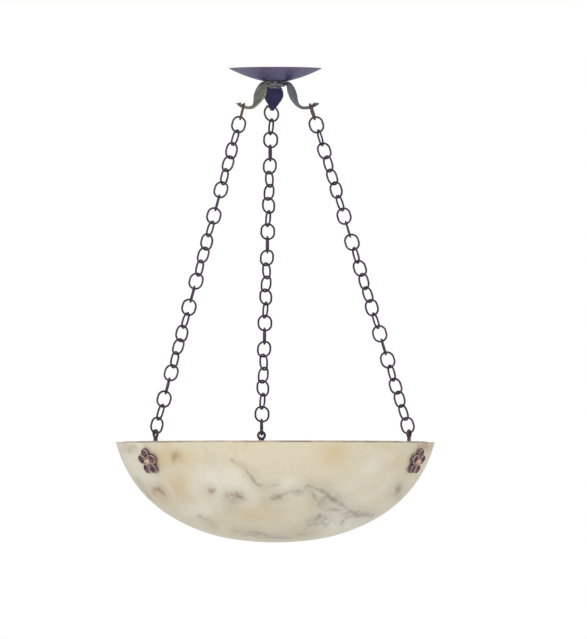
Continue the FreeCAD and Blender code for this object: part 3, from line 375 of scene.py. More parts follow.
def make_metal(
    name, dark, light, edge_and_patch_tone, roughness, metallic, marks, bump, wear_and_highlight_share=0.5, specks=None, wire=False
):
    """Patinated metal: mottled colour, pale edges and patches that are partly abrasion of the
    patina and partly painted highlights, and hammered or cast marks.
    """
    n = Paint(name)
    where = n.where()
    mottle = n.noise(where, marks * 0.5, 4.0, 0.6, 0.4)
    fine = n.noise(where, marks * 4, 3.0, 0.6)
    tone = n.mix(n.band(mottle, 0.36, 0.66), dark, light)
    if specks:
        tone = n.mix(n.band(n.noise(where, marks * 2.5, 3.0, 0.7), 0.5, 0.62), tone, specks)
    # Wire is round all over, so it has no edges that stand out.
    edges = 0.0 if wire else n.band(n.node("ShaderNodeNewGeometry", output=7), 0.505, 0.55)
    # Pale colour on sharp edges and in noise patches: partly abrasion of the patina, partly painted
    # highlights.
    wear_and_highlight = n.times(edges, n.band(fine, 0.25, 0.5))
    patches = n.times(n.band(fine, 0.56, 0.72), 0.6)
    wear_and_highlight = n.times(n.math("MAXIMUM", wear_and_highlight, patches), wear_and_highlight_share, clamp=True)
    tone = n.mix(wear_and_highlight, tone, edge_and_patch_tone)
    n.fill(
        n.shader,
        Base_Color=tone,
        Metallic=metallic,
        Roughness=n.band(mottle, 0.3, 0.7, roughness - 0.1, roughness + 0.12),
    )
    height = n.math("ADD", n.noise(where, marks, 3.0, 0.55), n.times(fine, 0.35))
    n.bump(height, 0.6, bump * MM)
    return n.material


def make_spun_metal():
    """Canopy: violet-grey patina over faint turning lines, lighter towards the rim as painted light
    on its top.
    """
    n = Paint("canopy_metal")
    where = n.where()
    radius = n.vector("LENGTH", n.vector("MULTIPLY", where, (1.0, 1.0, 0.0)), output=1)
    lines = n.tree.nodes.new("ShaderNodeTexNoise")
    lines.noise_dimensions = "1D"
    n.fill(lines, W=radius, Scale=900.0, Detail=3.0)
    cloud = n.noise(where, 32.0, 4.0, 0.6, 0.5)
    fine = n.noise(where, 260.0, 3.0, 0.6)
    tone = n.mix(n.band(cloud, 0.36, 0.64), srgb(72, 76, 128), srgb(106, 104, 144))
    tone = n.mix(n.times(n.band(fine, 0.5, 0.7), 0.45), tone, srgb(120, 116, 110))
    # Lighter, pinker colour towards the rim: painted light on the top of the canopy.
    rim = n.times(n.band(radius, 0.034, 0.066), 0.75)
    tone = n.mix(rim, tone, srgb(124, 110, 146))
    n.fill(
        n.shader,
        Base_Color=tone,
        Metallic=0.65,
        Roughness=n.band(cloud, 0.3, 0.7, 0.42, 0.6),
    )
    height = n.math("ADD", lines.outputs["Fac"], n.times(fine, 0.6))
    n.bump(height, 0.35, 0.0003)
    return n.material


def make_plain(name, low, high, scale, bump, **values):
    """Even material whose colour and surface vary a little."""
    n = Paint(name)
    where = n.where()
    spots = n.noise(where, scale, 4.0, 0.6)
    n.fill(n.shader, Base_Color=n.mix(n.band(spots, 0.35, 0.65), low, high), **values)
    n.bump(spots, 0.4, bump * MM)
    return n.material


ALABASTER = make_alabaster()
CANOPY_METAL = make_spun_metal()
CHAIN_IRON = make_metal(
    "chain_iron", srgb(46, 34, 66), srgb(84, 62, 88), srgb(190, 150, 116),
    0.46, 0.6, 300.0, 0.35, 0.8, wire=True,
)
RING_IRON = make_metal(
    "ring_iron", srgb(64, 52, 58), srgb(112, 92, 74), srgb(196, 160, 112),
    0.46, 0.7, 260.0, 0.3, 0.9, wire=True,
)
# Three copies of the arm iron: the left arm lighter as painted light, the right arm in between, the
# back arm darker and bluer as painted shade; the green specks on the left arm are patina.
ARM_METALS_LIT_AND_SHADED = {
    "left": make_metal(
        "arm_patina_lit_left", srgb(92, 92, 92), srgb(132, 130, 120), srgb(178, 168, 140), 0.55, 0.5,
        230.0, 0.5, 0.5, srgb(86, 102, 78),
    ),
    "right": make_metal(
        "arm_patina_dim_right", srgb(66, 66, 86), srgb(98, 100, 112), srgb(140, 138, 136), 0.5, 0.6,
        220.0, 0.4, 0.5,
    ),
    "back": make_metal(
        "arm_patina_shaded_back", srgb(42, 42, 84), srgb(58, 58, 100), srgb(96, 94, 120), 0.5, 0.6,
        220.0, 0.4, 0.4,
    ),
}
HUB_METAL = make_metal(
    "hub_patina", srgb(92, 90, 104), srgb(120, 118, 126), srgb(190, 188, 192), 0.42, 0.55,
    220.0, 0.1,
)
ROSETTE_BRONZE = make_metal(
    "rosette_bronze", srgb(52, 38, 70), srgb(124, 94, 108), srgb(240, 208, 180), 0.4, 0.6,
    330.0, 0.3, 1.0,
)
HOOK_IRON = make_metal(
    "hook_iron", srgb(56, 42, 60), srgb(96, 78, 92), srgb(160, 130, 112),
    0.48, 0.7, 300.0, 0.35, 0.6, wire=True,
)
ZINC = make_metal(
    "zinc_steel", srgb(150, 150, 148), srgb(178, 178, 174), srgb(206, 206, 204), 0.38, 0.9,
    180.0, 0.05,
)
CLUSTER_BRONZE = make_metal(
    "cluster_bronze", srgb(92, 74, 54), srgb(124, 102, 74), srgb(168, 144, 104), 0.42, 0.8,
    120.0, 0.08,
)
RED_FIBRE = make_plain(
    "red_fibre", srgb(108, 50, 40), srgb(128, 62, 48), 700.0, 0.05, Roughness=0.75
)
PORCELAIN = make_plain(
    "porcelain", srgb(226, 222, 212), srgb(236, 233, 226), 60.0, 0.03,
    Roughness=0.16, Coat_Weight=0.4,
)
OPAL = make_plain(
    "opal_glass", srgb(236, 233, 224), srgb(242, 240, 234), 30.0, 0.02,
    Roughness=0.12, Subsurface_Weight=0.3, Subsurface_Scale=0.004, Coat_Weight=0.5,
)
BLACK_PLASTIC = make_plain(
    "black_plastic", srgb(36, 36, 38), srgb(50, 50, 52), 900.0, 0.06, Roughness=0.5
)

# ---------------------------------------------------------------- meshes

SHARP_ANGLE = 35.0


def mesh_of(name, points, faces, material, sharp=SHARP_ANGLE):
    """Smooth-shaded object from points in millimetres, with its faces outwards."""
    data = bpy.data.meshes.new(name)
    data.from_pydata([tuple(Vector(p) * MM) for p in points], [], faces)
    made = bmesh.new()
    made.from_mesh(data)
    bmesh.ops.remove_doubles(made, verts=made.verts, dist=1e-8)
    bmesh.ops.recalc_face_normals(made, faces=made.faces)
    made.to_mesh(data)
    made.free()
    data.shade_smooth()
    if sharp:
        data.set_sharp_from_angle(angle=math.radians(sharp))
    data.materials.append(material)
    piece = bpy.data.objects.new(name, data)
    scene.collection.objects.link(piece)
    return piece


def finish_piece(piece, body, node):
    """Let a piece ride on its body and stand for its node."""
    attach(piece, body)
    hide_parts(node)


def add_piece(name, part, material, body, slot, node, sharp=SHARP_ANGLE):
    """Make a piece from its points and faces and finish it."""
    finish_piece(mesh_of(name, *part, material, sharp), body, node)


def applied(piece):
    """Replace a piece's mesh by what its modifiers make of it."""
    graph = bpy.context.evaluated_depsgraph_get()
    made = bpy.data.meshes.new_from_object(piece.evaluated_get(graph))
    piece.modifiers.clear()
    piece.data = made


def fused(piece, voxel, smooth):
    """Melt the closed shells of a piece into one skin."""
    remesh = piece.modifiers.new("fuse", "REMESH")
    remesh.mode = "VOXEL"
    remesh.voxel_size = voxel * MM
    remesh.use_smooth_shade = True
    soft = piece.modifiers.new("soft", "SMOOTH")
    soft.factor = 0.5
    soft.iterations = smooth
    material = piece.data.materials[0]
    applied(piece)
    if not piece.data.materials:
        piece.data.materials.append(material)
    piece.data.shade_smooth()


def merged(parts):
    """One list of points and faces from several."""
    points, faces = [], []
    for more_points, more_faces in parts:
        base = len(points)
        points += more_points
        faces += [[base + index for index in face] for face in more_faces]
    return points, faces


def moved(part, matrix):
    points, faces = part
    return [matrix @ Vector(p) for p in points], faces


def rows_of(rows, closed=False, capped=False, around=True):
    """Points and faces of a grid of rows; a row of one point is a pole."""
    points, starts = [], []
    for row in rows:
        starts.append((len(points), len(row)))
        points += [Vector(p) for p in row]
    faces = []
    pairs = list(zip(starts, starts[1:]))
    if closed:
        pairs.append((starts[-1], starts[0]))
    for (a, count_a), (b, count_b) in pairs:
        count = max(count_a, count_b)
        for i in range(count if around else count - 1):
            j = (i + 1) % count
            quad = [
                a + (i if count_a > 1 else 0),
                a + (j if count_a > 1 else 0),
                b + (j if count_b > 1 else 0),
                b + (i if count_b > 1 else 0),
            ]
            faces.append(list(dict.fromkeys(quad)))
    if capped:
        for start, count in (starts[0], starts[-1]):
            faces.append(list(range(start, start + count)))
    return points, faces


def circle_row(radius, height, sides):
    if radius <= 0:
        return [(0, 0, height)]
    steps = [2 * math.pi * i / sides for i in range(sides)]
    return [(radius * math.cos(a), radius * math.sin(a), height) for a in steps]


def turned(profile, sides, closed=False):
    """Form turned about Z from (radius, height) points."""
    return rows_of([circle_row(r, z, sides) for r, z in profile], closed)


def softened(outline, radius, closed=False, steps=3):
    """Outline in two dimensions with rounded corners."""
    made = []
    count = len(outline)
    for index, corner in enumerate(outline):
        if not closed and index in (0, count - 1):
            made.append(tuple(corner))
            continue
        here = Vector(corner)
        before = Vector(outline[index - 1]) - here
        after = Vector(outline[(index + 1) % count]) - here
        reach_before = min(radius, before.length * 0.48)
        reach_after = min(radius, after.length * 0.48)
        start = here + before.normalized() * reach_before
        end = here + after.normalized() * reach_after
        for step in range(steps + 1):
            t = step / steps
            made.append(tuple(start * (1 - t) ** 2 + here * (2 * t * (1 - t)) + end * t * t))
    return made


def frame_at(origin, x_axis, y_axis, z_axis):
    """Matrix that takes X, Y and Z to three given directions."""
    turned_to = Matrix((x_axis, y_axis, z_axis)).transposed().to_4x4()
    return Matrix.Translation(origin) @ turned_to


def about_axis(degrees):
    return Matrix.Rotation(math.radians(degrees), 4, "Z")


def outward(degrees):
    angle = math.radians(degrees)
    return Vector((math.cos(angle), math.sin(angle), 0))


def rough(point, scale, amount, seed=0.0):
    """Wander of a point by a smooth noise, for forged and cast surfaces."""
    at = Vector(point) / scale + Vector((seed, seed * 1.7, seed * 0.6))
    return Vector(point) + noise.noise_vector(at) * amount


def loop_tube(line, radii, sides, up=UP):
    """Closed tube along a flat loop in XY; radii has one value for each point."""
    count = len(line)
    rows = []
    for index, here in enumerate(line):
        direction = (line[(index + 1) % count] - line[index - 1]).normalized()
        out = direction.cross(up)
        row = []
        for side in range(sides):
            a = 2 * math.pi * side / sides
            row.append(here + (out * math.cos(a) + up * math.sin(a)) * radii[index])
        rows.append(row)
    return rows_of(rows, closed=True)


def strap(stations, section):
    """Bar through (centre, across, through, half width, half thickness)."""
    rows = []
    for centre, across, through, width, thickness in stations:
        rows.append([centre + across * (x * width) + through * (y * thickness) for x, y in section])
    return rows_of(rows, capped=True)


def rounded_section(width, thickness, radius, steps=3):
    """Section of a strap with round corners, as shares of its half sizes."""
    corners = [(1, 1), (-1, 1), (-1, -1), (1, -1)]
    outline = [(x * width, y * thickness) for x, y in corners]
    return [(x / width, y / thickness) for x, y in softened(outline, radius, True, steps)]


def bent_line(points, radius, steps=8):
    """Line in space whose corners are rounded."""
    made = [points[0]]
    for before, here, after in zip(points, points[1:], points[2:]):
        reach = min(radius, (before - here).length * 0.48, (after - here).length * 0.48)
        start = here + (before - here).normalized() * reach
        end = here + (after - here).normalized() * reach
        for step in range(steps + 1):
            t = step / steps
            made.append(start * (1 - t) ** 2 + here * (2 * t * (1 - t)) + end * t * t)
    made.append(points[-1])
    return made


def bar_along(points, across, half_width, half_thickness, section):
    """Strap along a line that lies in the plane square to across."""
    stations = []
    for index, here in enumerate(points):
        ahead = points[min(index + 1, len(points) - 1)]
        behind = points[max(index - 1, 0)]
        through = (ahead - behind).normalized().cross(across)
        stations.append((here, across, through, half_width, half_thickness))
    return strap(stations, section)


def nut_part(flats, low, high, bore, sides=48):
    """Hexagon nut with turned chamfers about Z."""
    inner = flats / 2
    rows = [[], [], [], [], [], []]
    for index in range(sides):
        angle = 2 * math.pi * index / sides
        off = (angle + math.pi / 6) % (math.pi / 3) - math.pi / 6
        corner = inner / math.cos(off)
        drop = (corner - inner * 0.97) * 0.58
        ring = (
            (bore, low),
            (inner * 0.97, low),
            (corner, low + drop),
            (corner, high - drop),
            (inner * 0.97, high),
            (bore, high),
        )
        for row, (r, z) in zip(rows, ring):
            row.append((r * math.cos(angle), r * math.sin(angle), z))
    return rows_of(rows, closed=True)


# ---------------------------------------------------------------- bowl

BOWL_RADIUS = 228.5
BOWL_WALL = 12.0
RIM_SLOPE = 14.4
SIDE_RADIUS, SIDE_END = 175.0, 58.0
BELLY_RADIUS, BELLY_END = 243.6, 82.0
BOWL_SIDES = 288
FIXING_DEPTH = 27.0
FIXING_LAND = 20.0
CAD_FLATS = 84


def bowl_arcs():
    """Arcs of the outside as (centre radius, centre height, radius, slopes)."""
    arcs = []
    r, z, slope = BOWL_RADIUS, 0.0, RIM_SLOPE
    for radius, end in ((SIDE_RADIUS, SIDE_END), (BELLY_RADIUS, BELLY_END), (None, 90.0)):
        angle = math.radians(slope)
        radius = radius or r / math.cos(angle)
        centre = (r - radius * math.cos(angle), z + radius * math.sin(angle))
        arcs.append((*centre, radius, slope, end))
        r, z = arc_point(arcs[-1], end)
        slope = end
    return arcs


def arc_point(arc, slope, inset=0.0):
    centre_r, centre_z, radius = arc[:3]
    angle = math.radians(slope)
    reach = radius - inset
    return centre_r + reach * math.cos(angle), centre_z - reach * math.sin(angle)


ARCS = bowl_arcs()


def wall_line(inset, steps=(26, 20, 10)):
    """Points of one side of the wall, from the rim to the axis."""
    points = []
    for arc, count in zip(ARCS, steps):
        start, end = arc[3:]
        slopes = [start + (end - start) * i / count for i in range(count)]
        points += [arc_point(arc, slope, inset) for slope in slopes]
    last = arc_point(ARCS[-1], 90.0, inset)
    return points + [(0.0, last[1])]


def fixing():
    """Bolt centre on the wall, its directions and the depth of the inside."""
    arc = ARCS[0]
    sine = math.sin(math.radians(RIM_SLOPE)) + FIXING_DEPTH / SIDE_RADIUS
    middle = math.degrees(math.asin(sine))
    land = math.degrees(math.asin(FIXING_LAND / 2 / SIDE_RADIUS))
    shrink = math.cos(math.pi / CAD_FLATS)

    def ends(inset):
        found = [arc_point(arc, slope, inset) for slope in (middle - land, middle + land)]
        return [Vector((r * shrink, 0, RIM_HEIGHT + z)) for r, z in found]

    upper, lower = ends(0.0)
    wall_up = (upper - lower).normalized()
    out = Vector((wall_up.z, 0, -wall_up.x))
    centre = (upper + lower) / 2
    return centre, wall_up, out, (ends(BOWL_WALL)[0] - centre).dot(out)


FIX_CENTRE, FIX_UP, FIX_OUT, INNER_FACE = fixing()
FIX = frame_at(FIX_CENTRE, FIX_UP.cross(FIX_OUT), FIX_UP, FIX_OUT)
WASHER_GAP, WASHER = 0.1, 1.0
ROSETTE_BACK = WASHER_GAP + WASHER
PAD_FACE = INNER_FACE - WASHER_GAP - WASHER
HOOK_THICKNESS = 2.8
HOOK_WIDTH = 8.0
PAD_BACK = PAD_FACE - HOOK_THICKNESS
SPIDER_THICKNESS = 2.0
TAB_BACK = PAD_BACK - SPIDER_THICKNESS
WALL_NUT_FLATS, WALL_NUT_HEIGHT = 8.0, 4.0
FIBRE_RADIUS, FIBRE_BORE = 7.5, 2.65
NUT_BACK = TAB_BACK - WALL_NUT_HEIGHT
BOLT_RADIUS, BOLT_HOLE, BOLT_END, BOLT_CHAMFER = 2.5, 3.5, 1.0, 0.4
# Head of a bolt as (radius, height above the rosette's boss), and how deep its cuts are.
BOLT_HEAD = ((5.0, -0.2), (5.0, 0.8), (4.8, 1.9), (4.1, 3.1), (3.0, 4.0), (1.6, 4.5), (0, 4.6))
HEAD_CUTS, HEAD_CUT = 8, 0.07


def at_legs():
    """Matrices of the three fixings, in the order of LEGS."""
    return [about_axis(degrees) @ FIX for degrees in LEGS.values()]


def make_bowl():
    """The stone bowl, with a softened lip and its three bolt holes."""
    outside = [(r, z + RIM_HEIGHT) for r, z in wall_line(0.0)]
    inside = [(r, z + RIM_HEIGHT) for r, z in wall_line(BOWL_WALL)]
    slope = math.tan(math.radians(RIM_SLOPE))
    lip_r = inside[0][0] - (inside[0][1] - RIM_HEIGHT) * slope
    lip = [(lip_r, RIM_HEIGHT), (BOWL_RADIUS, RIM_HEIGHT)]
    lip = softened([inside[0], *lip, outside[1]], 1.1, steps=5)
    profile = inside[::-1][:-1] + lip[1:-1] + outside[1:]
    bowl = mesh_of("alabaster_bowl_stone", *turned(profile, BOWL_SIDES), ALABASTER, sharp=None)
    drills = []
    for matrix in at_legs():
        ends = (0, PAD_FACE), (BOLT_HOLE, PAD_FACE), (BOLT_HOLE, ROSETTE_BACK), (0, ROSETTE_BACK)
        drills.append(moved(turned(ends, 32), matrix))
    cutter = mesh_of("drills", *merged(drills), ALABASTER)
    cut = bowl.modifiers.new("holes", "BOOLEAN")
    cut.operation = "DIFFERENCE"
    cut.solver = "EXACT"
    cut.object = cutter
    applied(bowl)
    bpy.data.objects.remove(cutter)
    bowl.data.shade_smooth()
    bowl.data.set_sharp_from_angle(angle=math.radians(40))
    finish_piece(bowl, "bowl", "alabaster_bowl")


# ---------------------------------------------------------------- crown

CANOPY_RADIUS, CANOPY_FLAT, CANOPY_DEPTH = 67.0, 17.0, 18.5
CANOPY_SHEET, CANOPY_BULGE = 1.3, 1.7
CANOPY_SIDES = 160
STEM_RADIUS, STEM_BORE = 5.0, 3.25
THREAD_PITCH, THREAD_DEPTH = 1.0, 0.6
STEM_HOLE = 5.1
SEAT_GAP = 0.3
ARM_THICKNESS = 3.0
HUB_RADIUS, HUB_THICKNESS = 16.5, 3.5
NUT_FLATS, NUT_HEIGHT = 14.0, 3.2
WASHER_RADIUS, WASHER_THICKNESS = 13.0, 1.5
COLLAR_RADIUS = 6.8
# Rivets of the arms: distance from the axis, shank, and head as (radius, drop).
RIVET_PLACE, RIVET_RADIUS = 11.6, 1.7
RIVET_HEAD = ((0, 1.6), (1.5, 1.45), (2.5, 0.9), (3.05, 0.2), (3.05, 0))
CROSSBAR = 2.4
CANOPY_FLOOR = -CANOPY_DEPTH
ARM_TOP = CANOPY_FLOOR - SEAT_GAP
HUB_TOP = ARM_TOP - ARM_THICKNESS
HUB_BOTTOM = HUB_TOP - HUB_THICKNESS


def make_canopy():
    """Spun cone with a slight bow and a thin turned edge."""
    rim = Vector((CANOPY_RADIUS, 0.0))
    flat = Vector((CANOPY_FLAT, CANOPY_FLOOR))
    out = Vector((CANOPY_DEPTH, CANOPY_FLAT - CANOPY_RADIUS)).normalized()
    middle = (rim + flat) / 2 + out * (2 * CANOPY_BULGE)
    steps = 20
    outside = []
    for index in range(steps + 1):
        t = index / steps
        outside.append(rim * (1 - t) ** 2 + middle * (2 * t * (1 - t)) + flat * t * t)
    inside = [Vector((p.x - 0.4, p.y + CANOPY_SHEET)) for p in outside if p.y < -CANOPY_SHEET - 0.4]
    profile = [Vector((CANOPY_RADIUS - 1.6, -0.05)), Vector((CANOPY_RADIUS - 0.5, 0.0))]
    profile += outside + [Vector((STEM_HOLE, CANOPY_FLOOR))]
    profile += [Vector((STEM_HOLE, CANOPY_FLOOR + CANOPY_SHEET))] + inside[::-1]
    shell = turned(profile, CANOPY_SIDES, closed=True)
    place = ("crown", "canopy_metal", "ceiling_canopy")
    add_piece("canopy_shell", shell, CANOPY_METAL, *place, sharp=24.0)


def make_stem():
    """Threaded stem, its nuts, the washer and the spacer."""
    top = -SEAT_GAP
    bottom = HUB_BOTTOM - NUT_HEIGHT
    root = STEM_RADIUS - THREAD_DEPTH
    profile = [(STEM_BORE, bottom), (root, bottom)]
    for index in range(int((top - bottom) / THREAD_PITCH)):
        start = bottom + index * THREAD_PITCH
        profile.append((STEM_RADIUS - 0.75 * THREAD_DEPTH, start + 0.1 * THREAD_PITCH))
        profile.append((STEM_RADIUS, start + 0.5 * THREAD_PITCH))
    profile += [(root, top), (STEM_BORE, top)]
    stem = turned(profile, 48, closed=True)
    add_piece("threaded_stem", stem, ZINC, "crown", "zinc_steel", "stem_tube", sharp=20.0)
    floor = CANOPY_FLOOR + CANOPY_SHEET
    washer_top = floor + WASHER_THICKNESS
    for name, low, material, slot in (
        ("crossbar_lock_nut", -CROSSBAR - NUT_HEIGHT, ZINC, "zinc_steel"),
        ("canopy_nut", washer_top, ZINC, "zinc_steel"),
        ("hub_nut", HUB_BOTTOM - NUT_HEIGHT, HUB_METAL, "forged_iron"),
    ):
        part = nut_part(NUT_FLATS, low, low + NUT_HEIGHT, STEM_HOLE)
        add_piece(f"{name}_piece", part, material, "crown", slot, name)
    for name, radius, low, high, material, slot in (
        ("canopy_washer", WASHER_RADIUS, floor, washer_top, ZINC, "zinc_steel"),
        ("spacer_collar", COLLAR_RADIUS, HUB_TOP, CANOPY_FLOOR, HUB_METAL, "forged_iron"),
    ):
        outline = [(STEM_HOLE, low), (radius, low), (radius, high), (STEM_HOLE, high)]
        part = turned(softened(outline, 0.3, True, 2), 64, closed=True)
        add_piece(f"{name}_piece", part, material, "crown", slot, name)


def make_hub():
    """Hammered hub plate and the rivets that hold the arms to it."""
    outline = [
        (STEM_HOLE, HUB_BOTTOM),
        (HUB_RADIUS - 1.6, HUB_BOTTOM),
        (HUB_RADIUS, HUB_BOTTOM + 1.2),
        (HUB_RADIUS, HUB_TOP - 0.5),
        (HUB_RADIUS - 0.8, HUB_TOP),
        (STEM_HOLE, HUB_TOP),
    ]
    points, faces = turned(softened(outline, 0.6, True, 3), 96, closed=True)
    hub = [rough(p, 7.0, 0.12, 3.0) for p in points], faces
    add_piece("hub_plate", hub, HUB_METAL, "crown", "forged_iron", "crown_hub")
    dome = [(r, HUB_BOTTOM - drop) for r, drop in RIVET_HEAD]
    dome += [(RIVET_RADIUS, HUB_BOTTOM), (RIVET_RADIUS, ARM_TOP), (0, ARM_TOP)]
    rivets = []
    for degrees in LEGS.values():
        at = Matrix.Translation(outward(degrees) * RIVET_PLACE)
        rivets.append(moved(turned(dome, 24), at))
    add_piece("rivet_heads", merged(rivets), HUB_METAL, "crown", "forged_iron", "arm_rivets")


SEAT_RADIUS, SEAT_DEPTH = 56.0, 56.0
NECK_WIDTH, NECK_THICKNESS = 5.6, 4.2
ROOT_RADIUS, ROOT_WIDTH, SHOULDER_WIDTH = 7.6, 11.0, 13.0
LEAF_WIDTH = 28.5
TIP_RADIUS, TIP_RISE, TIP_WIDTH, TIP_THICKNESS = 65.0, 5.5, 15.0, 1.8


def bezier(points, share):
    working = [Vector(p) for p in points]
    while len(working) > 2:
        working = [a.lerp(b, share) for a, b in zip(working, working[1:])]
    return working[0].lerp(working[1], share), (working[1] - working[0]).normalized()


def eased(stations, place):
    for (start, low), (end, high) in zip(stations, stations[1:]):
        if place <= end:
            t = (place - start) / (end - start)
            return low + (high - low) * t * t * (3 - 2 * t)
    return stations[-1][1]


def arm_stations():
    """Centre, direction, width and thickness from the root to the tip."""
    root_z = ARM_TOP - ARM_THICKNESS / 2
    shoulder = Vector((HUB_RADIUS + 0.5, 0, root_z))
    seat = Vector((SEAT_RADIUS, 0, -SEAT_DEPTH))
    fall = (shoulder, shoulder + ACROSS * 13.0, seat - Vector((34.0, 0, 10.0)), seat)
    rise = (fall[3] - fall[2]).normalized()
    tip = Vector((TIP_RADIUS, 0, seat.z + TIP_RISE))
    tail = (seat, seat + rise * ((tip - seat).length * 0.55), tip)
    widths = ((0, SHOULDER_WIDTH), (0.42, LEAF_WIDTH), (0.84, NECK_WIDTH), (1, NECK_WIDTH))
    depths = ((0, ARM_THICKNESS), (0.6, ARM_THICKNESS), (0.84, NECK_THICKNESS), (1, NECK_THICKNESS))
    tail_widths = ((0, NECK_WIDTH), (0.3, NECK_WIDTH), (1, TIP_WIDTH))
    tail_depths = ((0, NECK_THICKNESS), (0.3, NECK_THICKNESS), (1, TIP_THICKNESS))
    found = []
    for index in range(8):
        share = index / 8
        centre = Vector((ROOT_RADIUS, 0, root_z)).lerp(shoulder, share)
        width = ROOT_WIDTH + (SHOULDER_WIDTH - ROOT_WIDTH) * share
        found.append((centre, ACROSS, width, ARM_THICKNESS))
    for index in range(57):
        share = index / 56
        centre, direction = bezier(fall, share)
        found.append((centre, direction, eased(widths, share), eased(depths, share)))
    for index in range(1, 19):
        share = index / 18
        centre, direction = bezier(tail, share)
        found.append((centre, direction, eased(tail_widths, share), eased(tail_depths, share)))
    return found


def make_arms():
    """Forged straps: a dished, hammered leaf, a square neck and a wavy tail."""
    columns = 14
    for number, (name, degrees) in enumerate(LEGS.items()):
        stations = arm_stations()
        rows = []
        last = len(stations) - 1
        for index, (centre, direction, width, thickness) in enumerate(stations):
            up = direction.cross(SIDEWAYS) * -1
            if up.z < 0:
                up = up * -1
            end = min(1.0, 0.35 + 0.65 * math.sin(min(1.0, (last - index) / 3) * math.pi / 2))
            tail = max(0.0, (index - (last - 18)) / 18)
            flat_share = min(1.0, max(0.0, (width - 9) / 16))
            ends = []
            for side in (1, -1):
                row = []
                for column in range(columns + 1):
                    across = 1 - 2 * column / columns
                    across = math.sin(across * math.pi / 2) * side
                    edge = math.sqrt(max(0.0, 1 - abs(across) ** 5))
                    rounding = thickness / 2 * (0.3 + 0.7 * edge) * end
                    dish = 0.9 * flat_share * (1 - across * across)
                    wave = 1.1 * tail * math.sin(across * math.pi * 1.5)
                    off = SIDEWAYS * (across * width / 2 * (0.97 if index == last else 1.0))
                    out = up * (rounding * side - dish + wave)
                    row.append(centre + off + out)
                ends += row[:-1] if edge < 1e-6 else row
            rows.append(ends)
        points, faces = rows_of(rows, capped=True)
        made = []
        for point in points:
            dents = max(0.0, min(1.0, (point.x - HUB_RADIUS) / 10))
            made.append(rough(rough(point, 6.0, 0.35 * dents, number * 9.0), 2.6, 0.12 * dents))
        arm = moved((made, faces), about_axis(degrees))
        place = ("crown", "forged_iron", f"crown_arm_{name}")
        # Each arm gets its own copy of the iron, with its painted light or shade.
        add_piece(f"forged_arm_{name}", arm, ARM_METALS_LIT_AND_SHADED[name], *place)


# ---------------------------------------------------------------- chains

JOINTS = {joint["name"]: joint for joint in frame["joints"]}
WIRE_RADIUS = 1.46
RING_MEAN = 11.5
RING_TURNS = {"left": 36.0, "right": -16.0, "back": 36.0}
RING_ABOVE_SEAT = 4.1949
RING_DROP = 18.8051
LINK_SEAT = 3.0698
LINK_LINE, LINK_END = 22.8, 9.25
LINK_PITCH = LINK_LINE - LINK_SEAT
LINK_COUNT = 24
# About how far a link is turned from the last; the whole leg ends square to its eye.
LINK_TURN = 80.0
LINK_STEPS, LINK_SIDES = 44, 12


def leg(name):
    """Seat of the ring and the directions of a leg."""
    seat = Vector(JOINTS[f"leg_swing_{name}"]["pos_m"]) / MM
    pivot = Vector(JOINTS[f"chain_sway_{name}"]["pos_m"]) / MM
    down = (pivot - seat).normalized()
    tangent = UP.cross(outward(LEGS[name]))
    return seat, down, down.cross(tangent), tangent


def loop_matrix(centre, down, across, tangent, degrees):
    angle = math.radians(degrees)
    in_plane = tangent * math.cos(angle) + across * math.sin(angle)
    return frame_at(centre, down, in_plane, down.cross(in_plane))


def hand_made(count, chance, swell):
    """Radii round a loop of wire that was bent and closed by hand."""
    phase = chance.uniform(0, 2 * math.pi)
    weld = chance.choice((0.25, 0.75)) + chance.uniform(-0.03, 0.03)
    radii = []
    for index in range(count):
        at = index / count
        wander = 0.025 * math.sin(2 * math.pi * 2 * at + phase)
        lump = swell * math.exp(-(((at - weld) / 0.035) ** 2))
        radii.append(WIRE_RADIUS * (1 - 0.02 + wander + lump))
    return radii


def link_part(chance):
    """One oval link in XY, its long way along X."""
    half_straight = LINK_LINE / 2 - LINK_END
    straight = 2 * half_straight
    arc = math.pi * LINK_END
    total = 2 * (straight + arc)
    pinch = chance.uniform(-0.35, 0.35)
    line = []
    for index in range(LINK_STEPS):
        # Start in the middle of one side and go round.
        s = (index / LINK_STEPS * total + straight / 2) % total
        if s < straight:
            x, y = -half_straight + s, -LINK_END
        elif s < straight + arc:
            a = (s - straight) / LINK_END - math.pi / 2
            x, y = half_straight + LINK_END * math.cos(a), LINK_END * math.sin(a)
        elif s < 2 * straight + arc:
            x, y = half_straight - (s - straight - arc), LINK_END
        else:
            a = (s - 2 * straight - arc) / LINK_END + math.pi / 2
            x, y = -half_straight + LINK_END * math.cos(a), LINK_END * math.sin(a)
        bow = 1 - (x / (half_straight + LINK_END)) ** 2
        y += math.copysign(pinch * bow, y)
        line.append(Vector((x, y, 0.12 * math.sin(3 * y / LINK_END + pinch * 9) * bow)))
    radii = hand_made(LINK_STEPS, chance, 0.14)
    # The ends, where the next link hangs, keep to the plain wire.
    for index, here in enumerate(line):
        if abs(here.x) > half_straight + LINK_END * 0.7:
            radii[index] = min(radii[index], WIRE_RADIUS)
    return loop_tube(line, radii, LINK_SIDES)


def ring_part(chance):
    steps = 64
    line = [
        Vector((RING_MEAN * math.cos(a), RING_MEAN * math.sin(a), 0))
        for a in (2 * math.pi * i / steps for i in range(steps))
    ]
    radii = [min(r, WIRE_RADIUS * 1.02) for r in hand_made(steps, chance, 0.0)]
    return loop_tube(line, radii, 14)


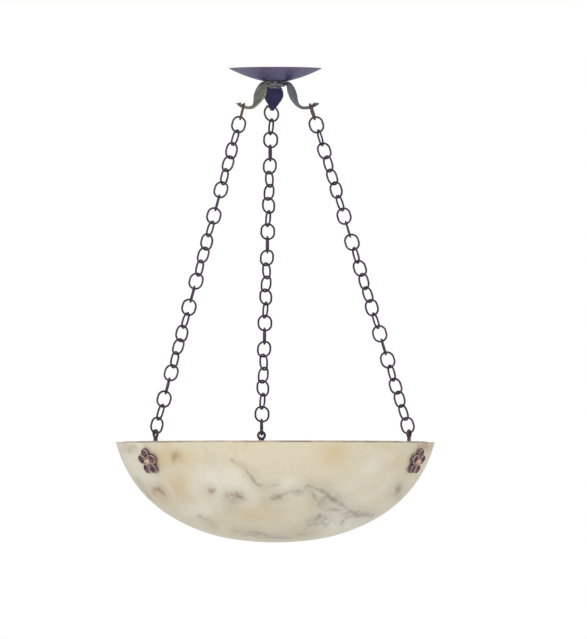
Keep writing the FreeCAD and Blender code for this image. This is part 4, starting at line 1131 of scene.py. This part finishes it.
def make_chains():
    """Rings and legs of links, each link a little different."""
    for number, name in enumerate(LEGS):
        chance = random.Random(40 + number)
        seat, down, across, tangent = leg(name)
        ring_turn = RING_TURNS[name]
        centre = seat + down * (RING_MEAN - RING_ABOVE_SEAT)
        ring = moved(ring_part(chance), loop_matrix(centre, down, across, tangent, ring_turn))
        place = (f"ring_{name}", "forged_iron", f"top_ring_{name}")
        add_piece(f"forged_ring_{name}", ring, RING_IRON, *place, sharp=None)
        wanted = LINK_COUNT * LINK_TURN + ring_turn - 90
        whole = 90 - ring_turn + 180 * round(wanted / 180)
        first = seat + down * (RING_DROP - LINK_SEAT + LINK_LINE / 2)
        links = []
        for index in range(LINK_COUNT):
            centre = first + down * (LINK_PITCH * index)
            degrees = ring_turn + whole / LINK_COUNT * (index + 1)
            at = loop_matrix(centre, down, across, tangent, degrees)
            links.append(moved(link_part(chance), at))
        if name == "back":
            place = ("last_link_back", "forged_iron", "end_link_back")
            add_piece("last_link_back", links.pop(), CHAIN_IRON, *place, sharp=None)
        place = (f"links_{name}", "forged_iron", f"chain_{name}")
        add_piece(f"link_chain_{name}", merged(links), CHAIN_IRON, *place, sharp=None)


# ---------------------------------------------------------------- hooks and rosettes

EYE_MEAN, EYE_BAR = 4.8, 1.95
HOOK_CLIMB, HOOK_TAIL = 9.9, 9.0
EYE_ABOVE_RIM = 11.4
HOOK_VOXEL = 0.35


def make_hooks():
    """Iron straps against the inside of the wall, each with a forged eye."""
    middle = FIX_CENTRE + FIX_OUT * (PAD_FACE - HOOK_THICKNESS / 2)
    bend = middle + FIX_UP * HOOK_CLIMB
    tail = middle - FIX_UP * HOOK_TAIL
    eye = Vector((bend.x, 0, RIM_HEIGHT + EYE_ABOVE_RIM))
    top = eye - UP * (EYE_MEAN - 0.6)
    section = rounded_section(HOOK_WIDTH / 2, HOOK_THICKNESS / 2, 0.8)
    line = bent_line([tail, bend, top], 5.0)
    flat = bar_along(line, SIDEWAYS, HOOK_WIDTH / 2, HOOK_THICKNESS / 2, section)
    steps = 48
    loop = [
        Vector((EYE_MEAN * math.cos(a), EYE_MEAN * math.sin(a), 0))
        for a in (2 * math.pi * i / steps for i in range(steps))
    ]
    upright = frame_at(eye, UP, SIDEWAYS, UP.cross(SIDEWAYS))
    ring = moved(loop_tube(loop, [EYE_BAR] * steps, 16), upright)
    for number, (name, degrees) in enumerate(LEGS.items()):
        hook = mesh_of(f"forged_hook_{name}", *merged([flat, ring]), HOOK_IRON)
        fused(hook, HOOK_VOXEL, 4)
        turn_to = about_axis(degrees)
        for vertex in hook.data.vertices:
            at = vertex.co / MM
            strength = min(1.0, max(0.0, (eye.z - 7.0 - at.z) / 4.0))
            vertex.co = (turn_to @ rough(at, 4.0, 0.18 * strength, number * 5.0)) * MM
        finish_piece(hook, "bowl", f"wall_hook_{name}")


PETALS = 5
ROSETTE_VOXEL = 0.34
PETAL_RADIUS = 7.9
PETAL_DISTANCE = 13.1
PETAL_HEIGHT = 5.2
PETAL_FLOOR = 1.9
PETAL_FOOT = 0.72
BOSS_RADIUS, BOSS_HEIGHT = 7.5, 3.8
# Beads round the boss: how many, how far out, and half an outline of one.
BEADS, BEAD_PLACE = 10, 6.15
BEAD_OUTLINE = ((0, -0.95), (0.7, -0.6), (0.95, 0), (0.7, 0.6), (0, 0.95))


def petal_part(chance):
    """Cupped round petal with a curled lip, about the origin; X is outwards."""
    rings, sides = 16, 40
    lean = chance.uniform(-0.04, 0.04)
    rows = [[(0, 0, 0)], circle_row(PETAL_RADIUS * PETAL_FOOT, 0, sides)]
    for step in range(rings + 1):
        share = 1 - step / rings
        row = []
        for index in range(sides):
            a = 2 * math.pi * index / sides
            outer = (1 + math.cos(a)) / 2
            reach = PETAL_RADIUS * (0.97 + 0.02 * math.cos(3 * a))
            cup = PETAL_FLOOR + 1.5 * share ** 2
            lip_high = (2.2 + 1.1 * outer) * math.exp(-(((share - 0.86) / 0.11) ** 2))
            inner = 0.7 * math.exp(-(((share - 0.5) / 0.09) ** 2)) * outer
            ribs = 0.28 * math.cos(9 * a) * share * (1 - share) * 2.4
            height = cup + lip_high + inner + ribs
            if step == 0:
                height = 1.1
            height = min(height, PETAL_HEIGHT - 0.25)
            tilt = lean * reach * share * math.sin(a)
            out = reach * share
            row.append(Vector((out * math.cos(a), out * math.sin(a), height + tilt)))
        rows.append(row if share > 0 else [row[0]])
    return rows_of(rows)


def make_rosettes():
    """Cast flowers of five curled petals."""
    for number, (name, degrees) in enumerate(LEGS.items()):
        chance = random.Random(70 + number)
        parts = []
        for petal in range(PETALS):
            spin = about_axis(90 + 360 * petal / PETALS)
            at = spin @ Matrix.Translation((PETAL_DISTANCE, 0, 0))
            parts.append(moved(petal_part(chance), at))
        boss = [(0, 0), (BOSS_RADIUS, 0), (BOSS_RADIUS, BOSS_HEIGHT - 0.8)]
        boss += [(5.6, BOSS_HEIGHT), (0, BOSS_HEIGHT)]
        parts.append(turned(softened(boss, 0.6), 48))
        for bead in range(BEADS):
            angle = 2 * math.pi * bead / BEADS + 0.3
            ball = turned(BEAD_OUTLINE, 10)
            across = BEAD_PLACE * math.cos(angle), BEAD_PLACE * math.sin(angle)
            centre = Vector((*across, BOSS_HEIGHT + 0.1))
            parts.append(moved(ball, Matrix.Translation(centre)))
        points, faces = merged(parts)
        points = [rough(p, 3.0, 0.14, number * 11.0) for p in points]
        matrix = about_axis(degrees) @ FIX @ Matrix.Translation((0, 0, ROSETTE_BACK))
        flower = mesh_of(f"cast_rosette_{name}", points, faces, ROSETTE_BRONZE, sharp=None)
        fused(flower, ROSETTE_VOXEL, 2)
        for step in (Matrix.Scale(1 / MM, 4), matrix, Matrix.Scale(MM, 4)):
            flower.data.transform(step)
        finish_piece(flower, "bowl", f"rosette_{name}")


def make_fixings():
    """Bolts with domed heads, nuts and fibre washers."""
    seat = ROSETTE_BACK + BOSS_HEIGHT
    end = NUT_BACK - BOLT_END
    bolt = [(0, end), (BOLT_RADIUS - BOLT_CHAMFER, end), (BOLT_RADIUS, end + BOLT_CHAMFER)]
    bolt.append((BOLT_RADIUS, seat + BOLT_HEAD[0][1]))
    bolt += [(r, seat + height) for r, height in BOLT_HEAD]
    bolts, nuts, washers = [], [], []
    for matrix in at_legs():
        points, faces = turned(bolt, 40)
        shaped = []
        for point in points:
            # Shallow petal cuts round the head.
            if point.z > seat + BOLT_HEAD[1][1]:
                angle = math.atan2(point.y, point.x)
                pull = 1 - HEAD_CUT * (0.5 + 0.5 * math.cos(HEAD_CUTS * angle))
                point = Vector((point.x * pull, point.y * pull, point.z))
            shaped.append(point)
        bolts.append(moved((shaped, faces), matrix))
        nut = nut_part(WALL_NUT_FLATS, NUT_BACK, TAB_BACK, BOLT_RADIUS + 0.05)
        nuts.append(moved(nut, matrix))
        for low in (WASHER_GAP, PAD_FACE):
            inner, outer, high = FIBRE_BORE, FIBRE_RADIUS, low + WASHER
            ring = [(inner, low), (outer, low), (outer, high), (inner, high)]
            washers.append(moved(turned(softened(ring, 0.2, True, 2), 48, closed=True), matrix))
    for name, parts, material, slot, node in (
        ("rosette_bolts", bolts, ROSETTE_BRONZE, "cast_bronze", "wall_bolts"),
        ("inside_nuts", nuts, ZINC, "zinc_steel", "wall_nuts"),
        ("stone_washers", washers, RED_FIBRE, "red_fibre", "fibre_washers"),
    ):
        add_piece(name, merged(parts), material, "bowl", slot, node)


# ---------------------------------------------------------------- lamps

SPIDER_TOP = RIM_HEIGHT - 44.0
SPIDER_BOTTOM = SPIDER_TOP - SPIDER_THICKNESS
SPIDER_PLATE, SPIDER_OVERLAP = 31.0, 6.2
# Half an arm's width, and its tab above the bolt.
SPIDER_ARM, SPIDER_TAB = 6.0, 6.6
CLUSTER_HEIGHT = 28.0
CLUSTER_BOTTOM = SPIDER_BOTTOM - CLUSTER_HEIGHT
CLUSTER_TOP_RADIUS = 26.0
HOLDER_DIP = 12.0
GLAND_RADIUS, GLAND_BORE, GLAND_HEIGHT, GLAND_NUT_FLATS = 6.0, 3.5, 14.0, 17.3
GLAND_RIBS, GLAND_RIB = 18, 0.035
GLAND_NUT_TOP = SPIDER_TOP + 6.0
HOLDER_RADIUS, HOLDER_LENGTH, HOLDER_WALL, HOLDER_GROOVE = 12.5, 34.0, 2.0, 0.7
BULB_RADIUS, BULB_END, BULB_NECK = 22.5, 88.0, 52.0
CAP_RADIUS, CAP_LENGTH = 7.0, 24.0
LAMPS = {"left": 150.0, "right": 30.0, "front": 270.0}


def make_spider():
    """Bracket: a round plate and three arms bent up the wall."""
    low, high = SPIDER_BOTTOM - 0.04, SPIDER_TOP + 0.04
    hole = GLAND_RADIUS + 0.1
    outline = [(hole, low), (SPIDER_PLATE, low), (SPIDER_PLATE, high), (hole, high)]
    parts = [turned(softened(outline, 0.4, True, 2), 96, closed=True)]
    tab = FIX_CENTRE + FIX_OUT * ((PAD_BACK + TAB_BACK) / 2)
    middle = (SPIDER_TOP + SPIDER_BOTTOM) / 2
    corner = tab - FIX_UP * ((tab.z - middle) / FIX_UP.z)
    inner = Vector((SPIDER_PLATE - SPIDER_OVERLAP, 0, middle))
    line = bent_line([inner, corner, tab + FIX_UP * SPIDER_TAB], 6.0)
    section = rounded_section(SPIDER_ARM, SPIDER_THICKNESS / 2, 0.35, 2)
    arm = bar_along(line, SIDEWAYS, SPIDER_ARM, SPIDER_THICKNESS / 2, section)
    parts += [moved(arm, about_axis(degrees)) for degrees in LEGS.values()]
    add_piece("lamp_bracket", merged(parts), ZINC, "bowl", "zinc_steel", "lamp_spider")


def make_gland():
    """Cord inlet: a nut on the bracket and a ribbed plastic gland."""
    part = nut_part(GLAND_NUT_FLATS, SPIDER_TOP, GLAND_NUT_TOP, GLAND_RADIUS + 0.1)
    add_piece("inlet_nut", part, ZINC, "bowl", "zinc_steel", "gland_nut")
    top = GLAND_NUT_TOP + GLAND_HEIGHT
    outline = [
        (GLAND_BORE, SPIDER_BOTTOM),
        (GLAND_RADIUS, SPIDER_BOTTOM),
        (GLAND_RADIUS, GLAND_NUT_TOP + 4.5),
        (GLAND_RADIUS * 0.95, GLAND_NUT_TOP + GLAND_HEIGHT / 2),
        (GLAND_RADIUS * 0.8, top),
        (GLAND_BORE, top),
    ]
    sides = 72
    points, faces = turned(softened(outline, 0.6, True, 3), sides, closed=True)
    ribbed = []
    for point in points:
        level = Vector((point.x, point.y, 0))
        if point.z > GLAND_NUT_TOP + 0.5 and level.length > 4.2:
            angle = math.atan2(point.y, point.x)
            level = level * (1 - GLAND_RIB * (1 + math.cos(GLAND_RIBS * angle)))
        ribbed.append(Vector((level.x, level.y, point.z)))
    gland = ribbed, faces
    add_piece("inlet_gland", gland, BLACK_PLASTIC, "bowl", "black_plastic", "cord_gland")


def lamp_matrix(degrees):
    radial = outward(degrees)
    dip = math.radians(HOLDER_DIP)
    axis = radial * math.cos(dip) - UP * math.sin(dip)
    side = UP.cross(radial)
    inset = math.cos(math.pi / 6)
    under = CLUSTER_TOP_RADIUS - CLUSTER_HEIGHT * math.tan(dip) / inset
    facet = (CLUSTER_TOP_RADIUS + under) / 2 * inset
    start = radial * facet + UP * (CLUSTER_BOTTOM + CLUSTER_HEIGHT / 2)
    return frame_at(start + axis * SEAT_GAP, side, axis.cross(side), axis), under


def make_lamps():
    """Cluster body, lampholders and bulbs."""
    under = lamp_matrix(0.0)[1]
    body = rows_of(
        [circle_row(under, CLUSTER_BOTTOM, 6), circle_row(CLUSTER_TOP_RADIUS, SPIDER_BOTTOM, 6)],
        capped=True,
    )
    cluster = mesh_of("cluster_body", *body, CLUSTER_BRONZE, sharp=30.0)
    bevel = cluster.modifiers.new("bevel", "BEVEL")
    bevel.width = 0.8 * MM
    bevel.segments = 3
    applied(cluster)
    finish_piece(cluster, "bowl", "lamp_cluster")
    well = HOLDER_LENGTH - CAP_LENGTH - SEAT_GAP
    groove, bore = HOLDER_RADIUS - HOLDER_GROOVE, HOLDER_RADIUS - HOLDER_WALL
    holder = [(0, 0), (HOLDER_RADIUS * 0.7, 0), (HOLDER_RADIUS, 7.0), (HOLDER_RADIUS, 12.0)]
    holder += [(groove, 13.0), (groove, 15.0), (HOLDER_RADIUS, 16.0)]
    holder += [(HOLDER_RADIUS, HOLDER_LENGTH), (bore, HOLDER_LENGTH), (bore, well), (0, well)]
    holder = turned(softened(holder, 0.7), 64)
    start = HOLDER_LENGTH + SEAT_GAP
    centre = BULB_END - BULB_RADIUS
    foot = HOLDER_LENGTH - CAP_LENGTH
    bulb = [(0, foot), (CAP_RADIUS, foot), (CAP_RADIUS, start)]
    neck = math.radians(BULB_NECK)
    joint = (BULB_RADIUS * math.sin(neck), centre - BULB_RADIUS * math.cos(neck))
    for step in range(1, 9):
        t = step / 9
        mid = (8.5, start + 8.0)
        r = CAP_RADIUS * (1 - t) ** 2 + mid[0] * 2 * t * (1 - t) + joint[0] * t * t
        z = start * (1 - t) ** 2 + mid[1] * 2 * t * (1 - t) + joint[1] * t * t
        bulb.append((r, z))
    for step in range(25):
        a = neck + (math.pi - neck) * step / 24
        r = BULB_RADIUS * math.sin(a) if step < 24 else 0
        bulb.append((r, centre - BULB_RADIUS * math.cos(a)))
    bulb = turned(bulb, 64)
    for name, degrees in LAMPS.items():
        at = lamp_matrix(degrees)[0]
        place = ("bowl", "porcelain", f"lampholder_{name}")
        add_piece(f"porcelain_holder_{name}", moved(holder, at), PORCELAIN, *place)
        place = ("bowl", "opal_glass", f"bulb_{name}")
        add_piece(f"opal_bulb_{name}", moved(bulb, at), OPAL, *place)


# ---------------------------------------------------------------- the lamp

make_bowl()
make_canopy()
make_stem()
make_hub()
make_arms()
make_chains()
make_hooks()
make_rosettes()
make_fixings()
make_spider()
make_gland()
make_lamps()

crossbar = frame["nodes"]["mounting_crossbar"]
for slot in crossbar.material_slots:
    slot.material = ZINC

# ---------------------------------------------------------------- stage and light

FLOOR_HEIGHT, FLOOR_SIZE = -1.35, 40.0
# The white world is this strong on the lamp, and 1 to the camera.
SKY_LIGHT = 0.71
bpy.ops.mesh.primitive_plane_add(size=FLOOR_SIZE, location=(0, 0, FLOOR_HEIGHT))
floor = bpy.context.object
floor.name = "floor"
floor.data.materials.append(
    make_plain("floor_paint", srgb(236, 235, 232), srgb(240, 239, 236), 3.0, 0.1, Roughness=0.85)
)

world = bpy.data.worlds.new("world")
scene.world = world
world.use_nodes = True
sky = Nodes(world.node_tree)
rays = sky.tree.nodes.new("ShaderNodeLightPath").outputs
seen = sky.math("ADD", rays["Is Camera Ray"], rays["Is Glossy Ray"], clamp=True)
seen = sky.math("ADD", seen, rays["Is Transmission Ray"], clamp=True)
strength = sky.math("MULTIPLY_ADD", seen, 1 - SKY_LIGHT, SKY_LIGHT)
sky.fill(sky.tree.nodes["Background"], Color=(1, 1, 1, 1), Strength=strength)


def lamp(name, place, power, width):
    """Soft square lamp that faces the middle of the pendant."""
    data = bpy.data.lights.new(name, "AREA")
    data.energy = power
    data.size = width
    made = bpy.data.objects.new(name, data)
    made.location = place
    middle = Vector((0, 0, AIM_HEIGHT * MM))
    made.rotation_mode = "QUATERNION"
    made.rotation_quaternion = (middle - Vector(place)).to_track_quat("-Z", "Y")
    scene.collection.objects.link(made)


lamp("key", (-1.6, -2.6, 0.5), 30.0, 1.8)
lamp("fill", (2.4, -2.2, -0.4), 15.0, 2.2)
lamp("rear", (0.6, 2.4, 0.6), 8.0, 1.6)
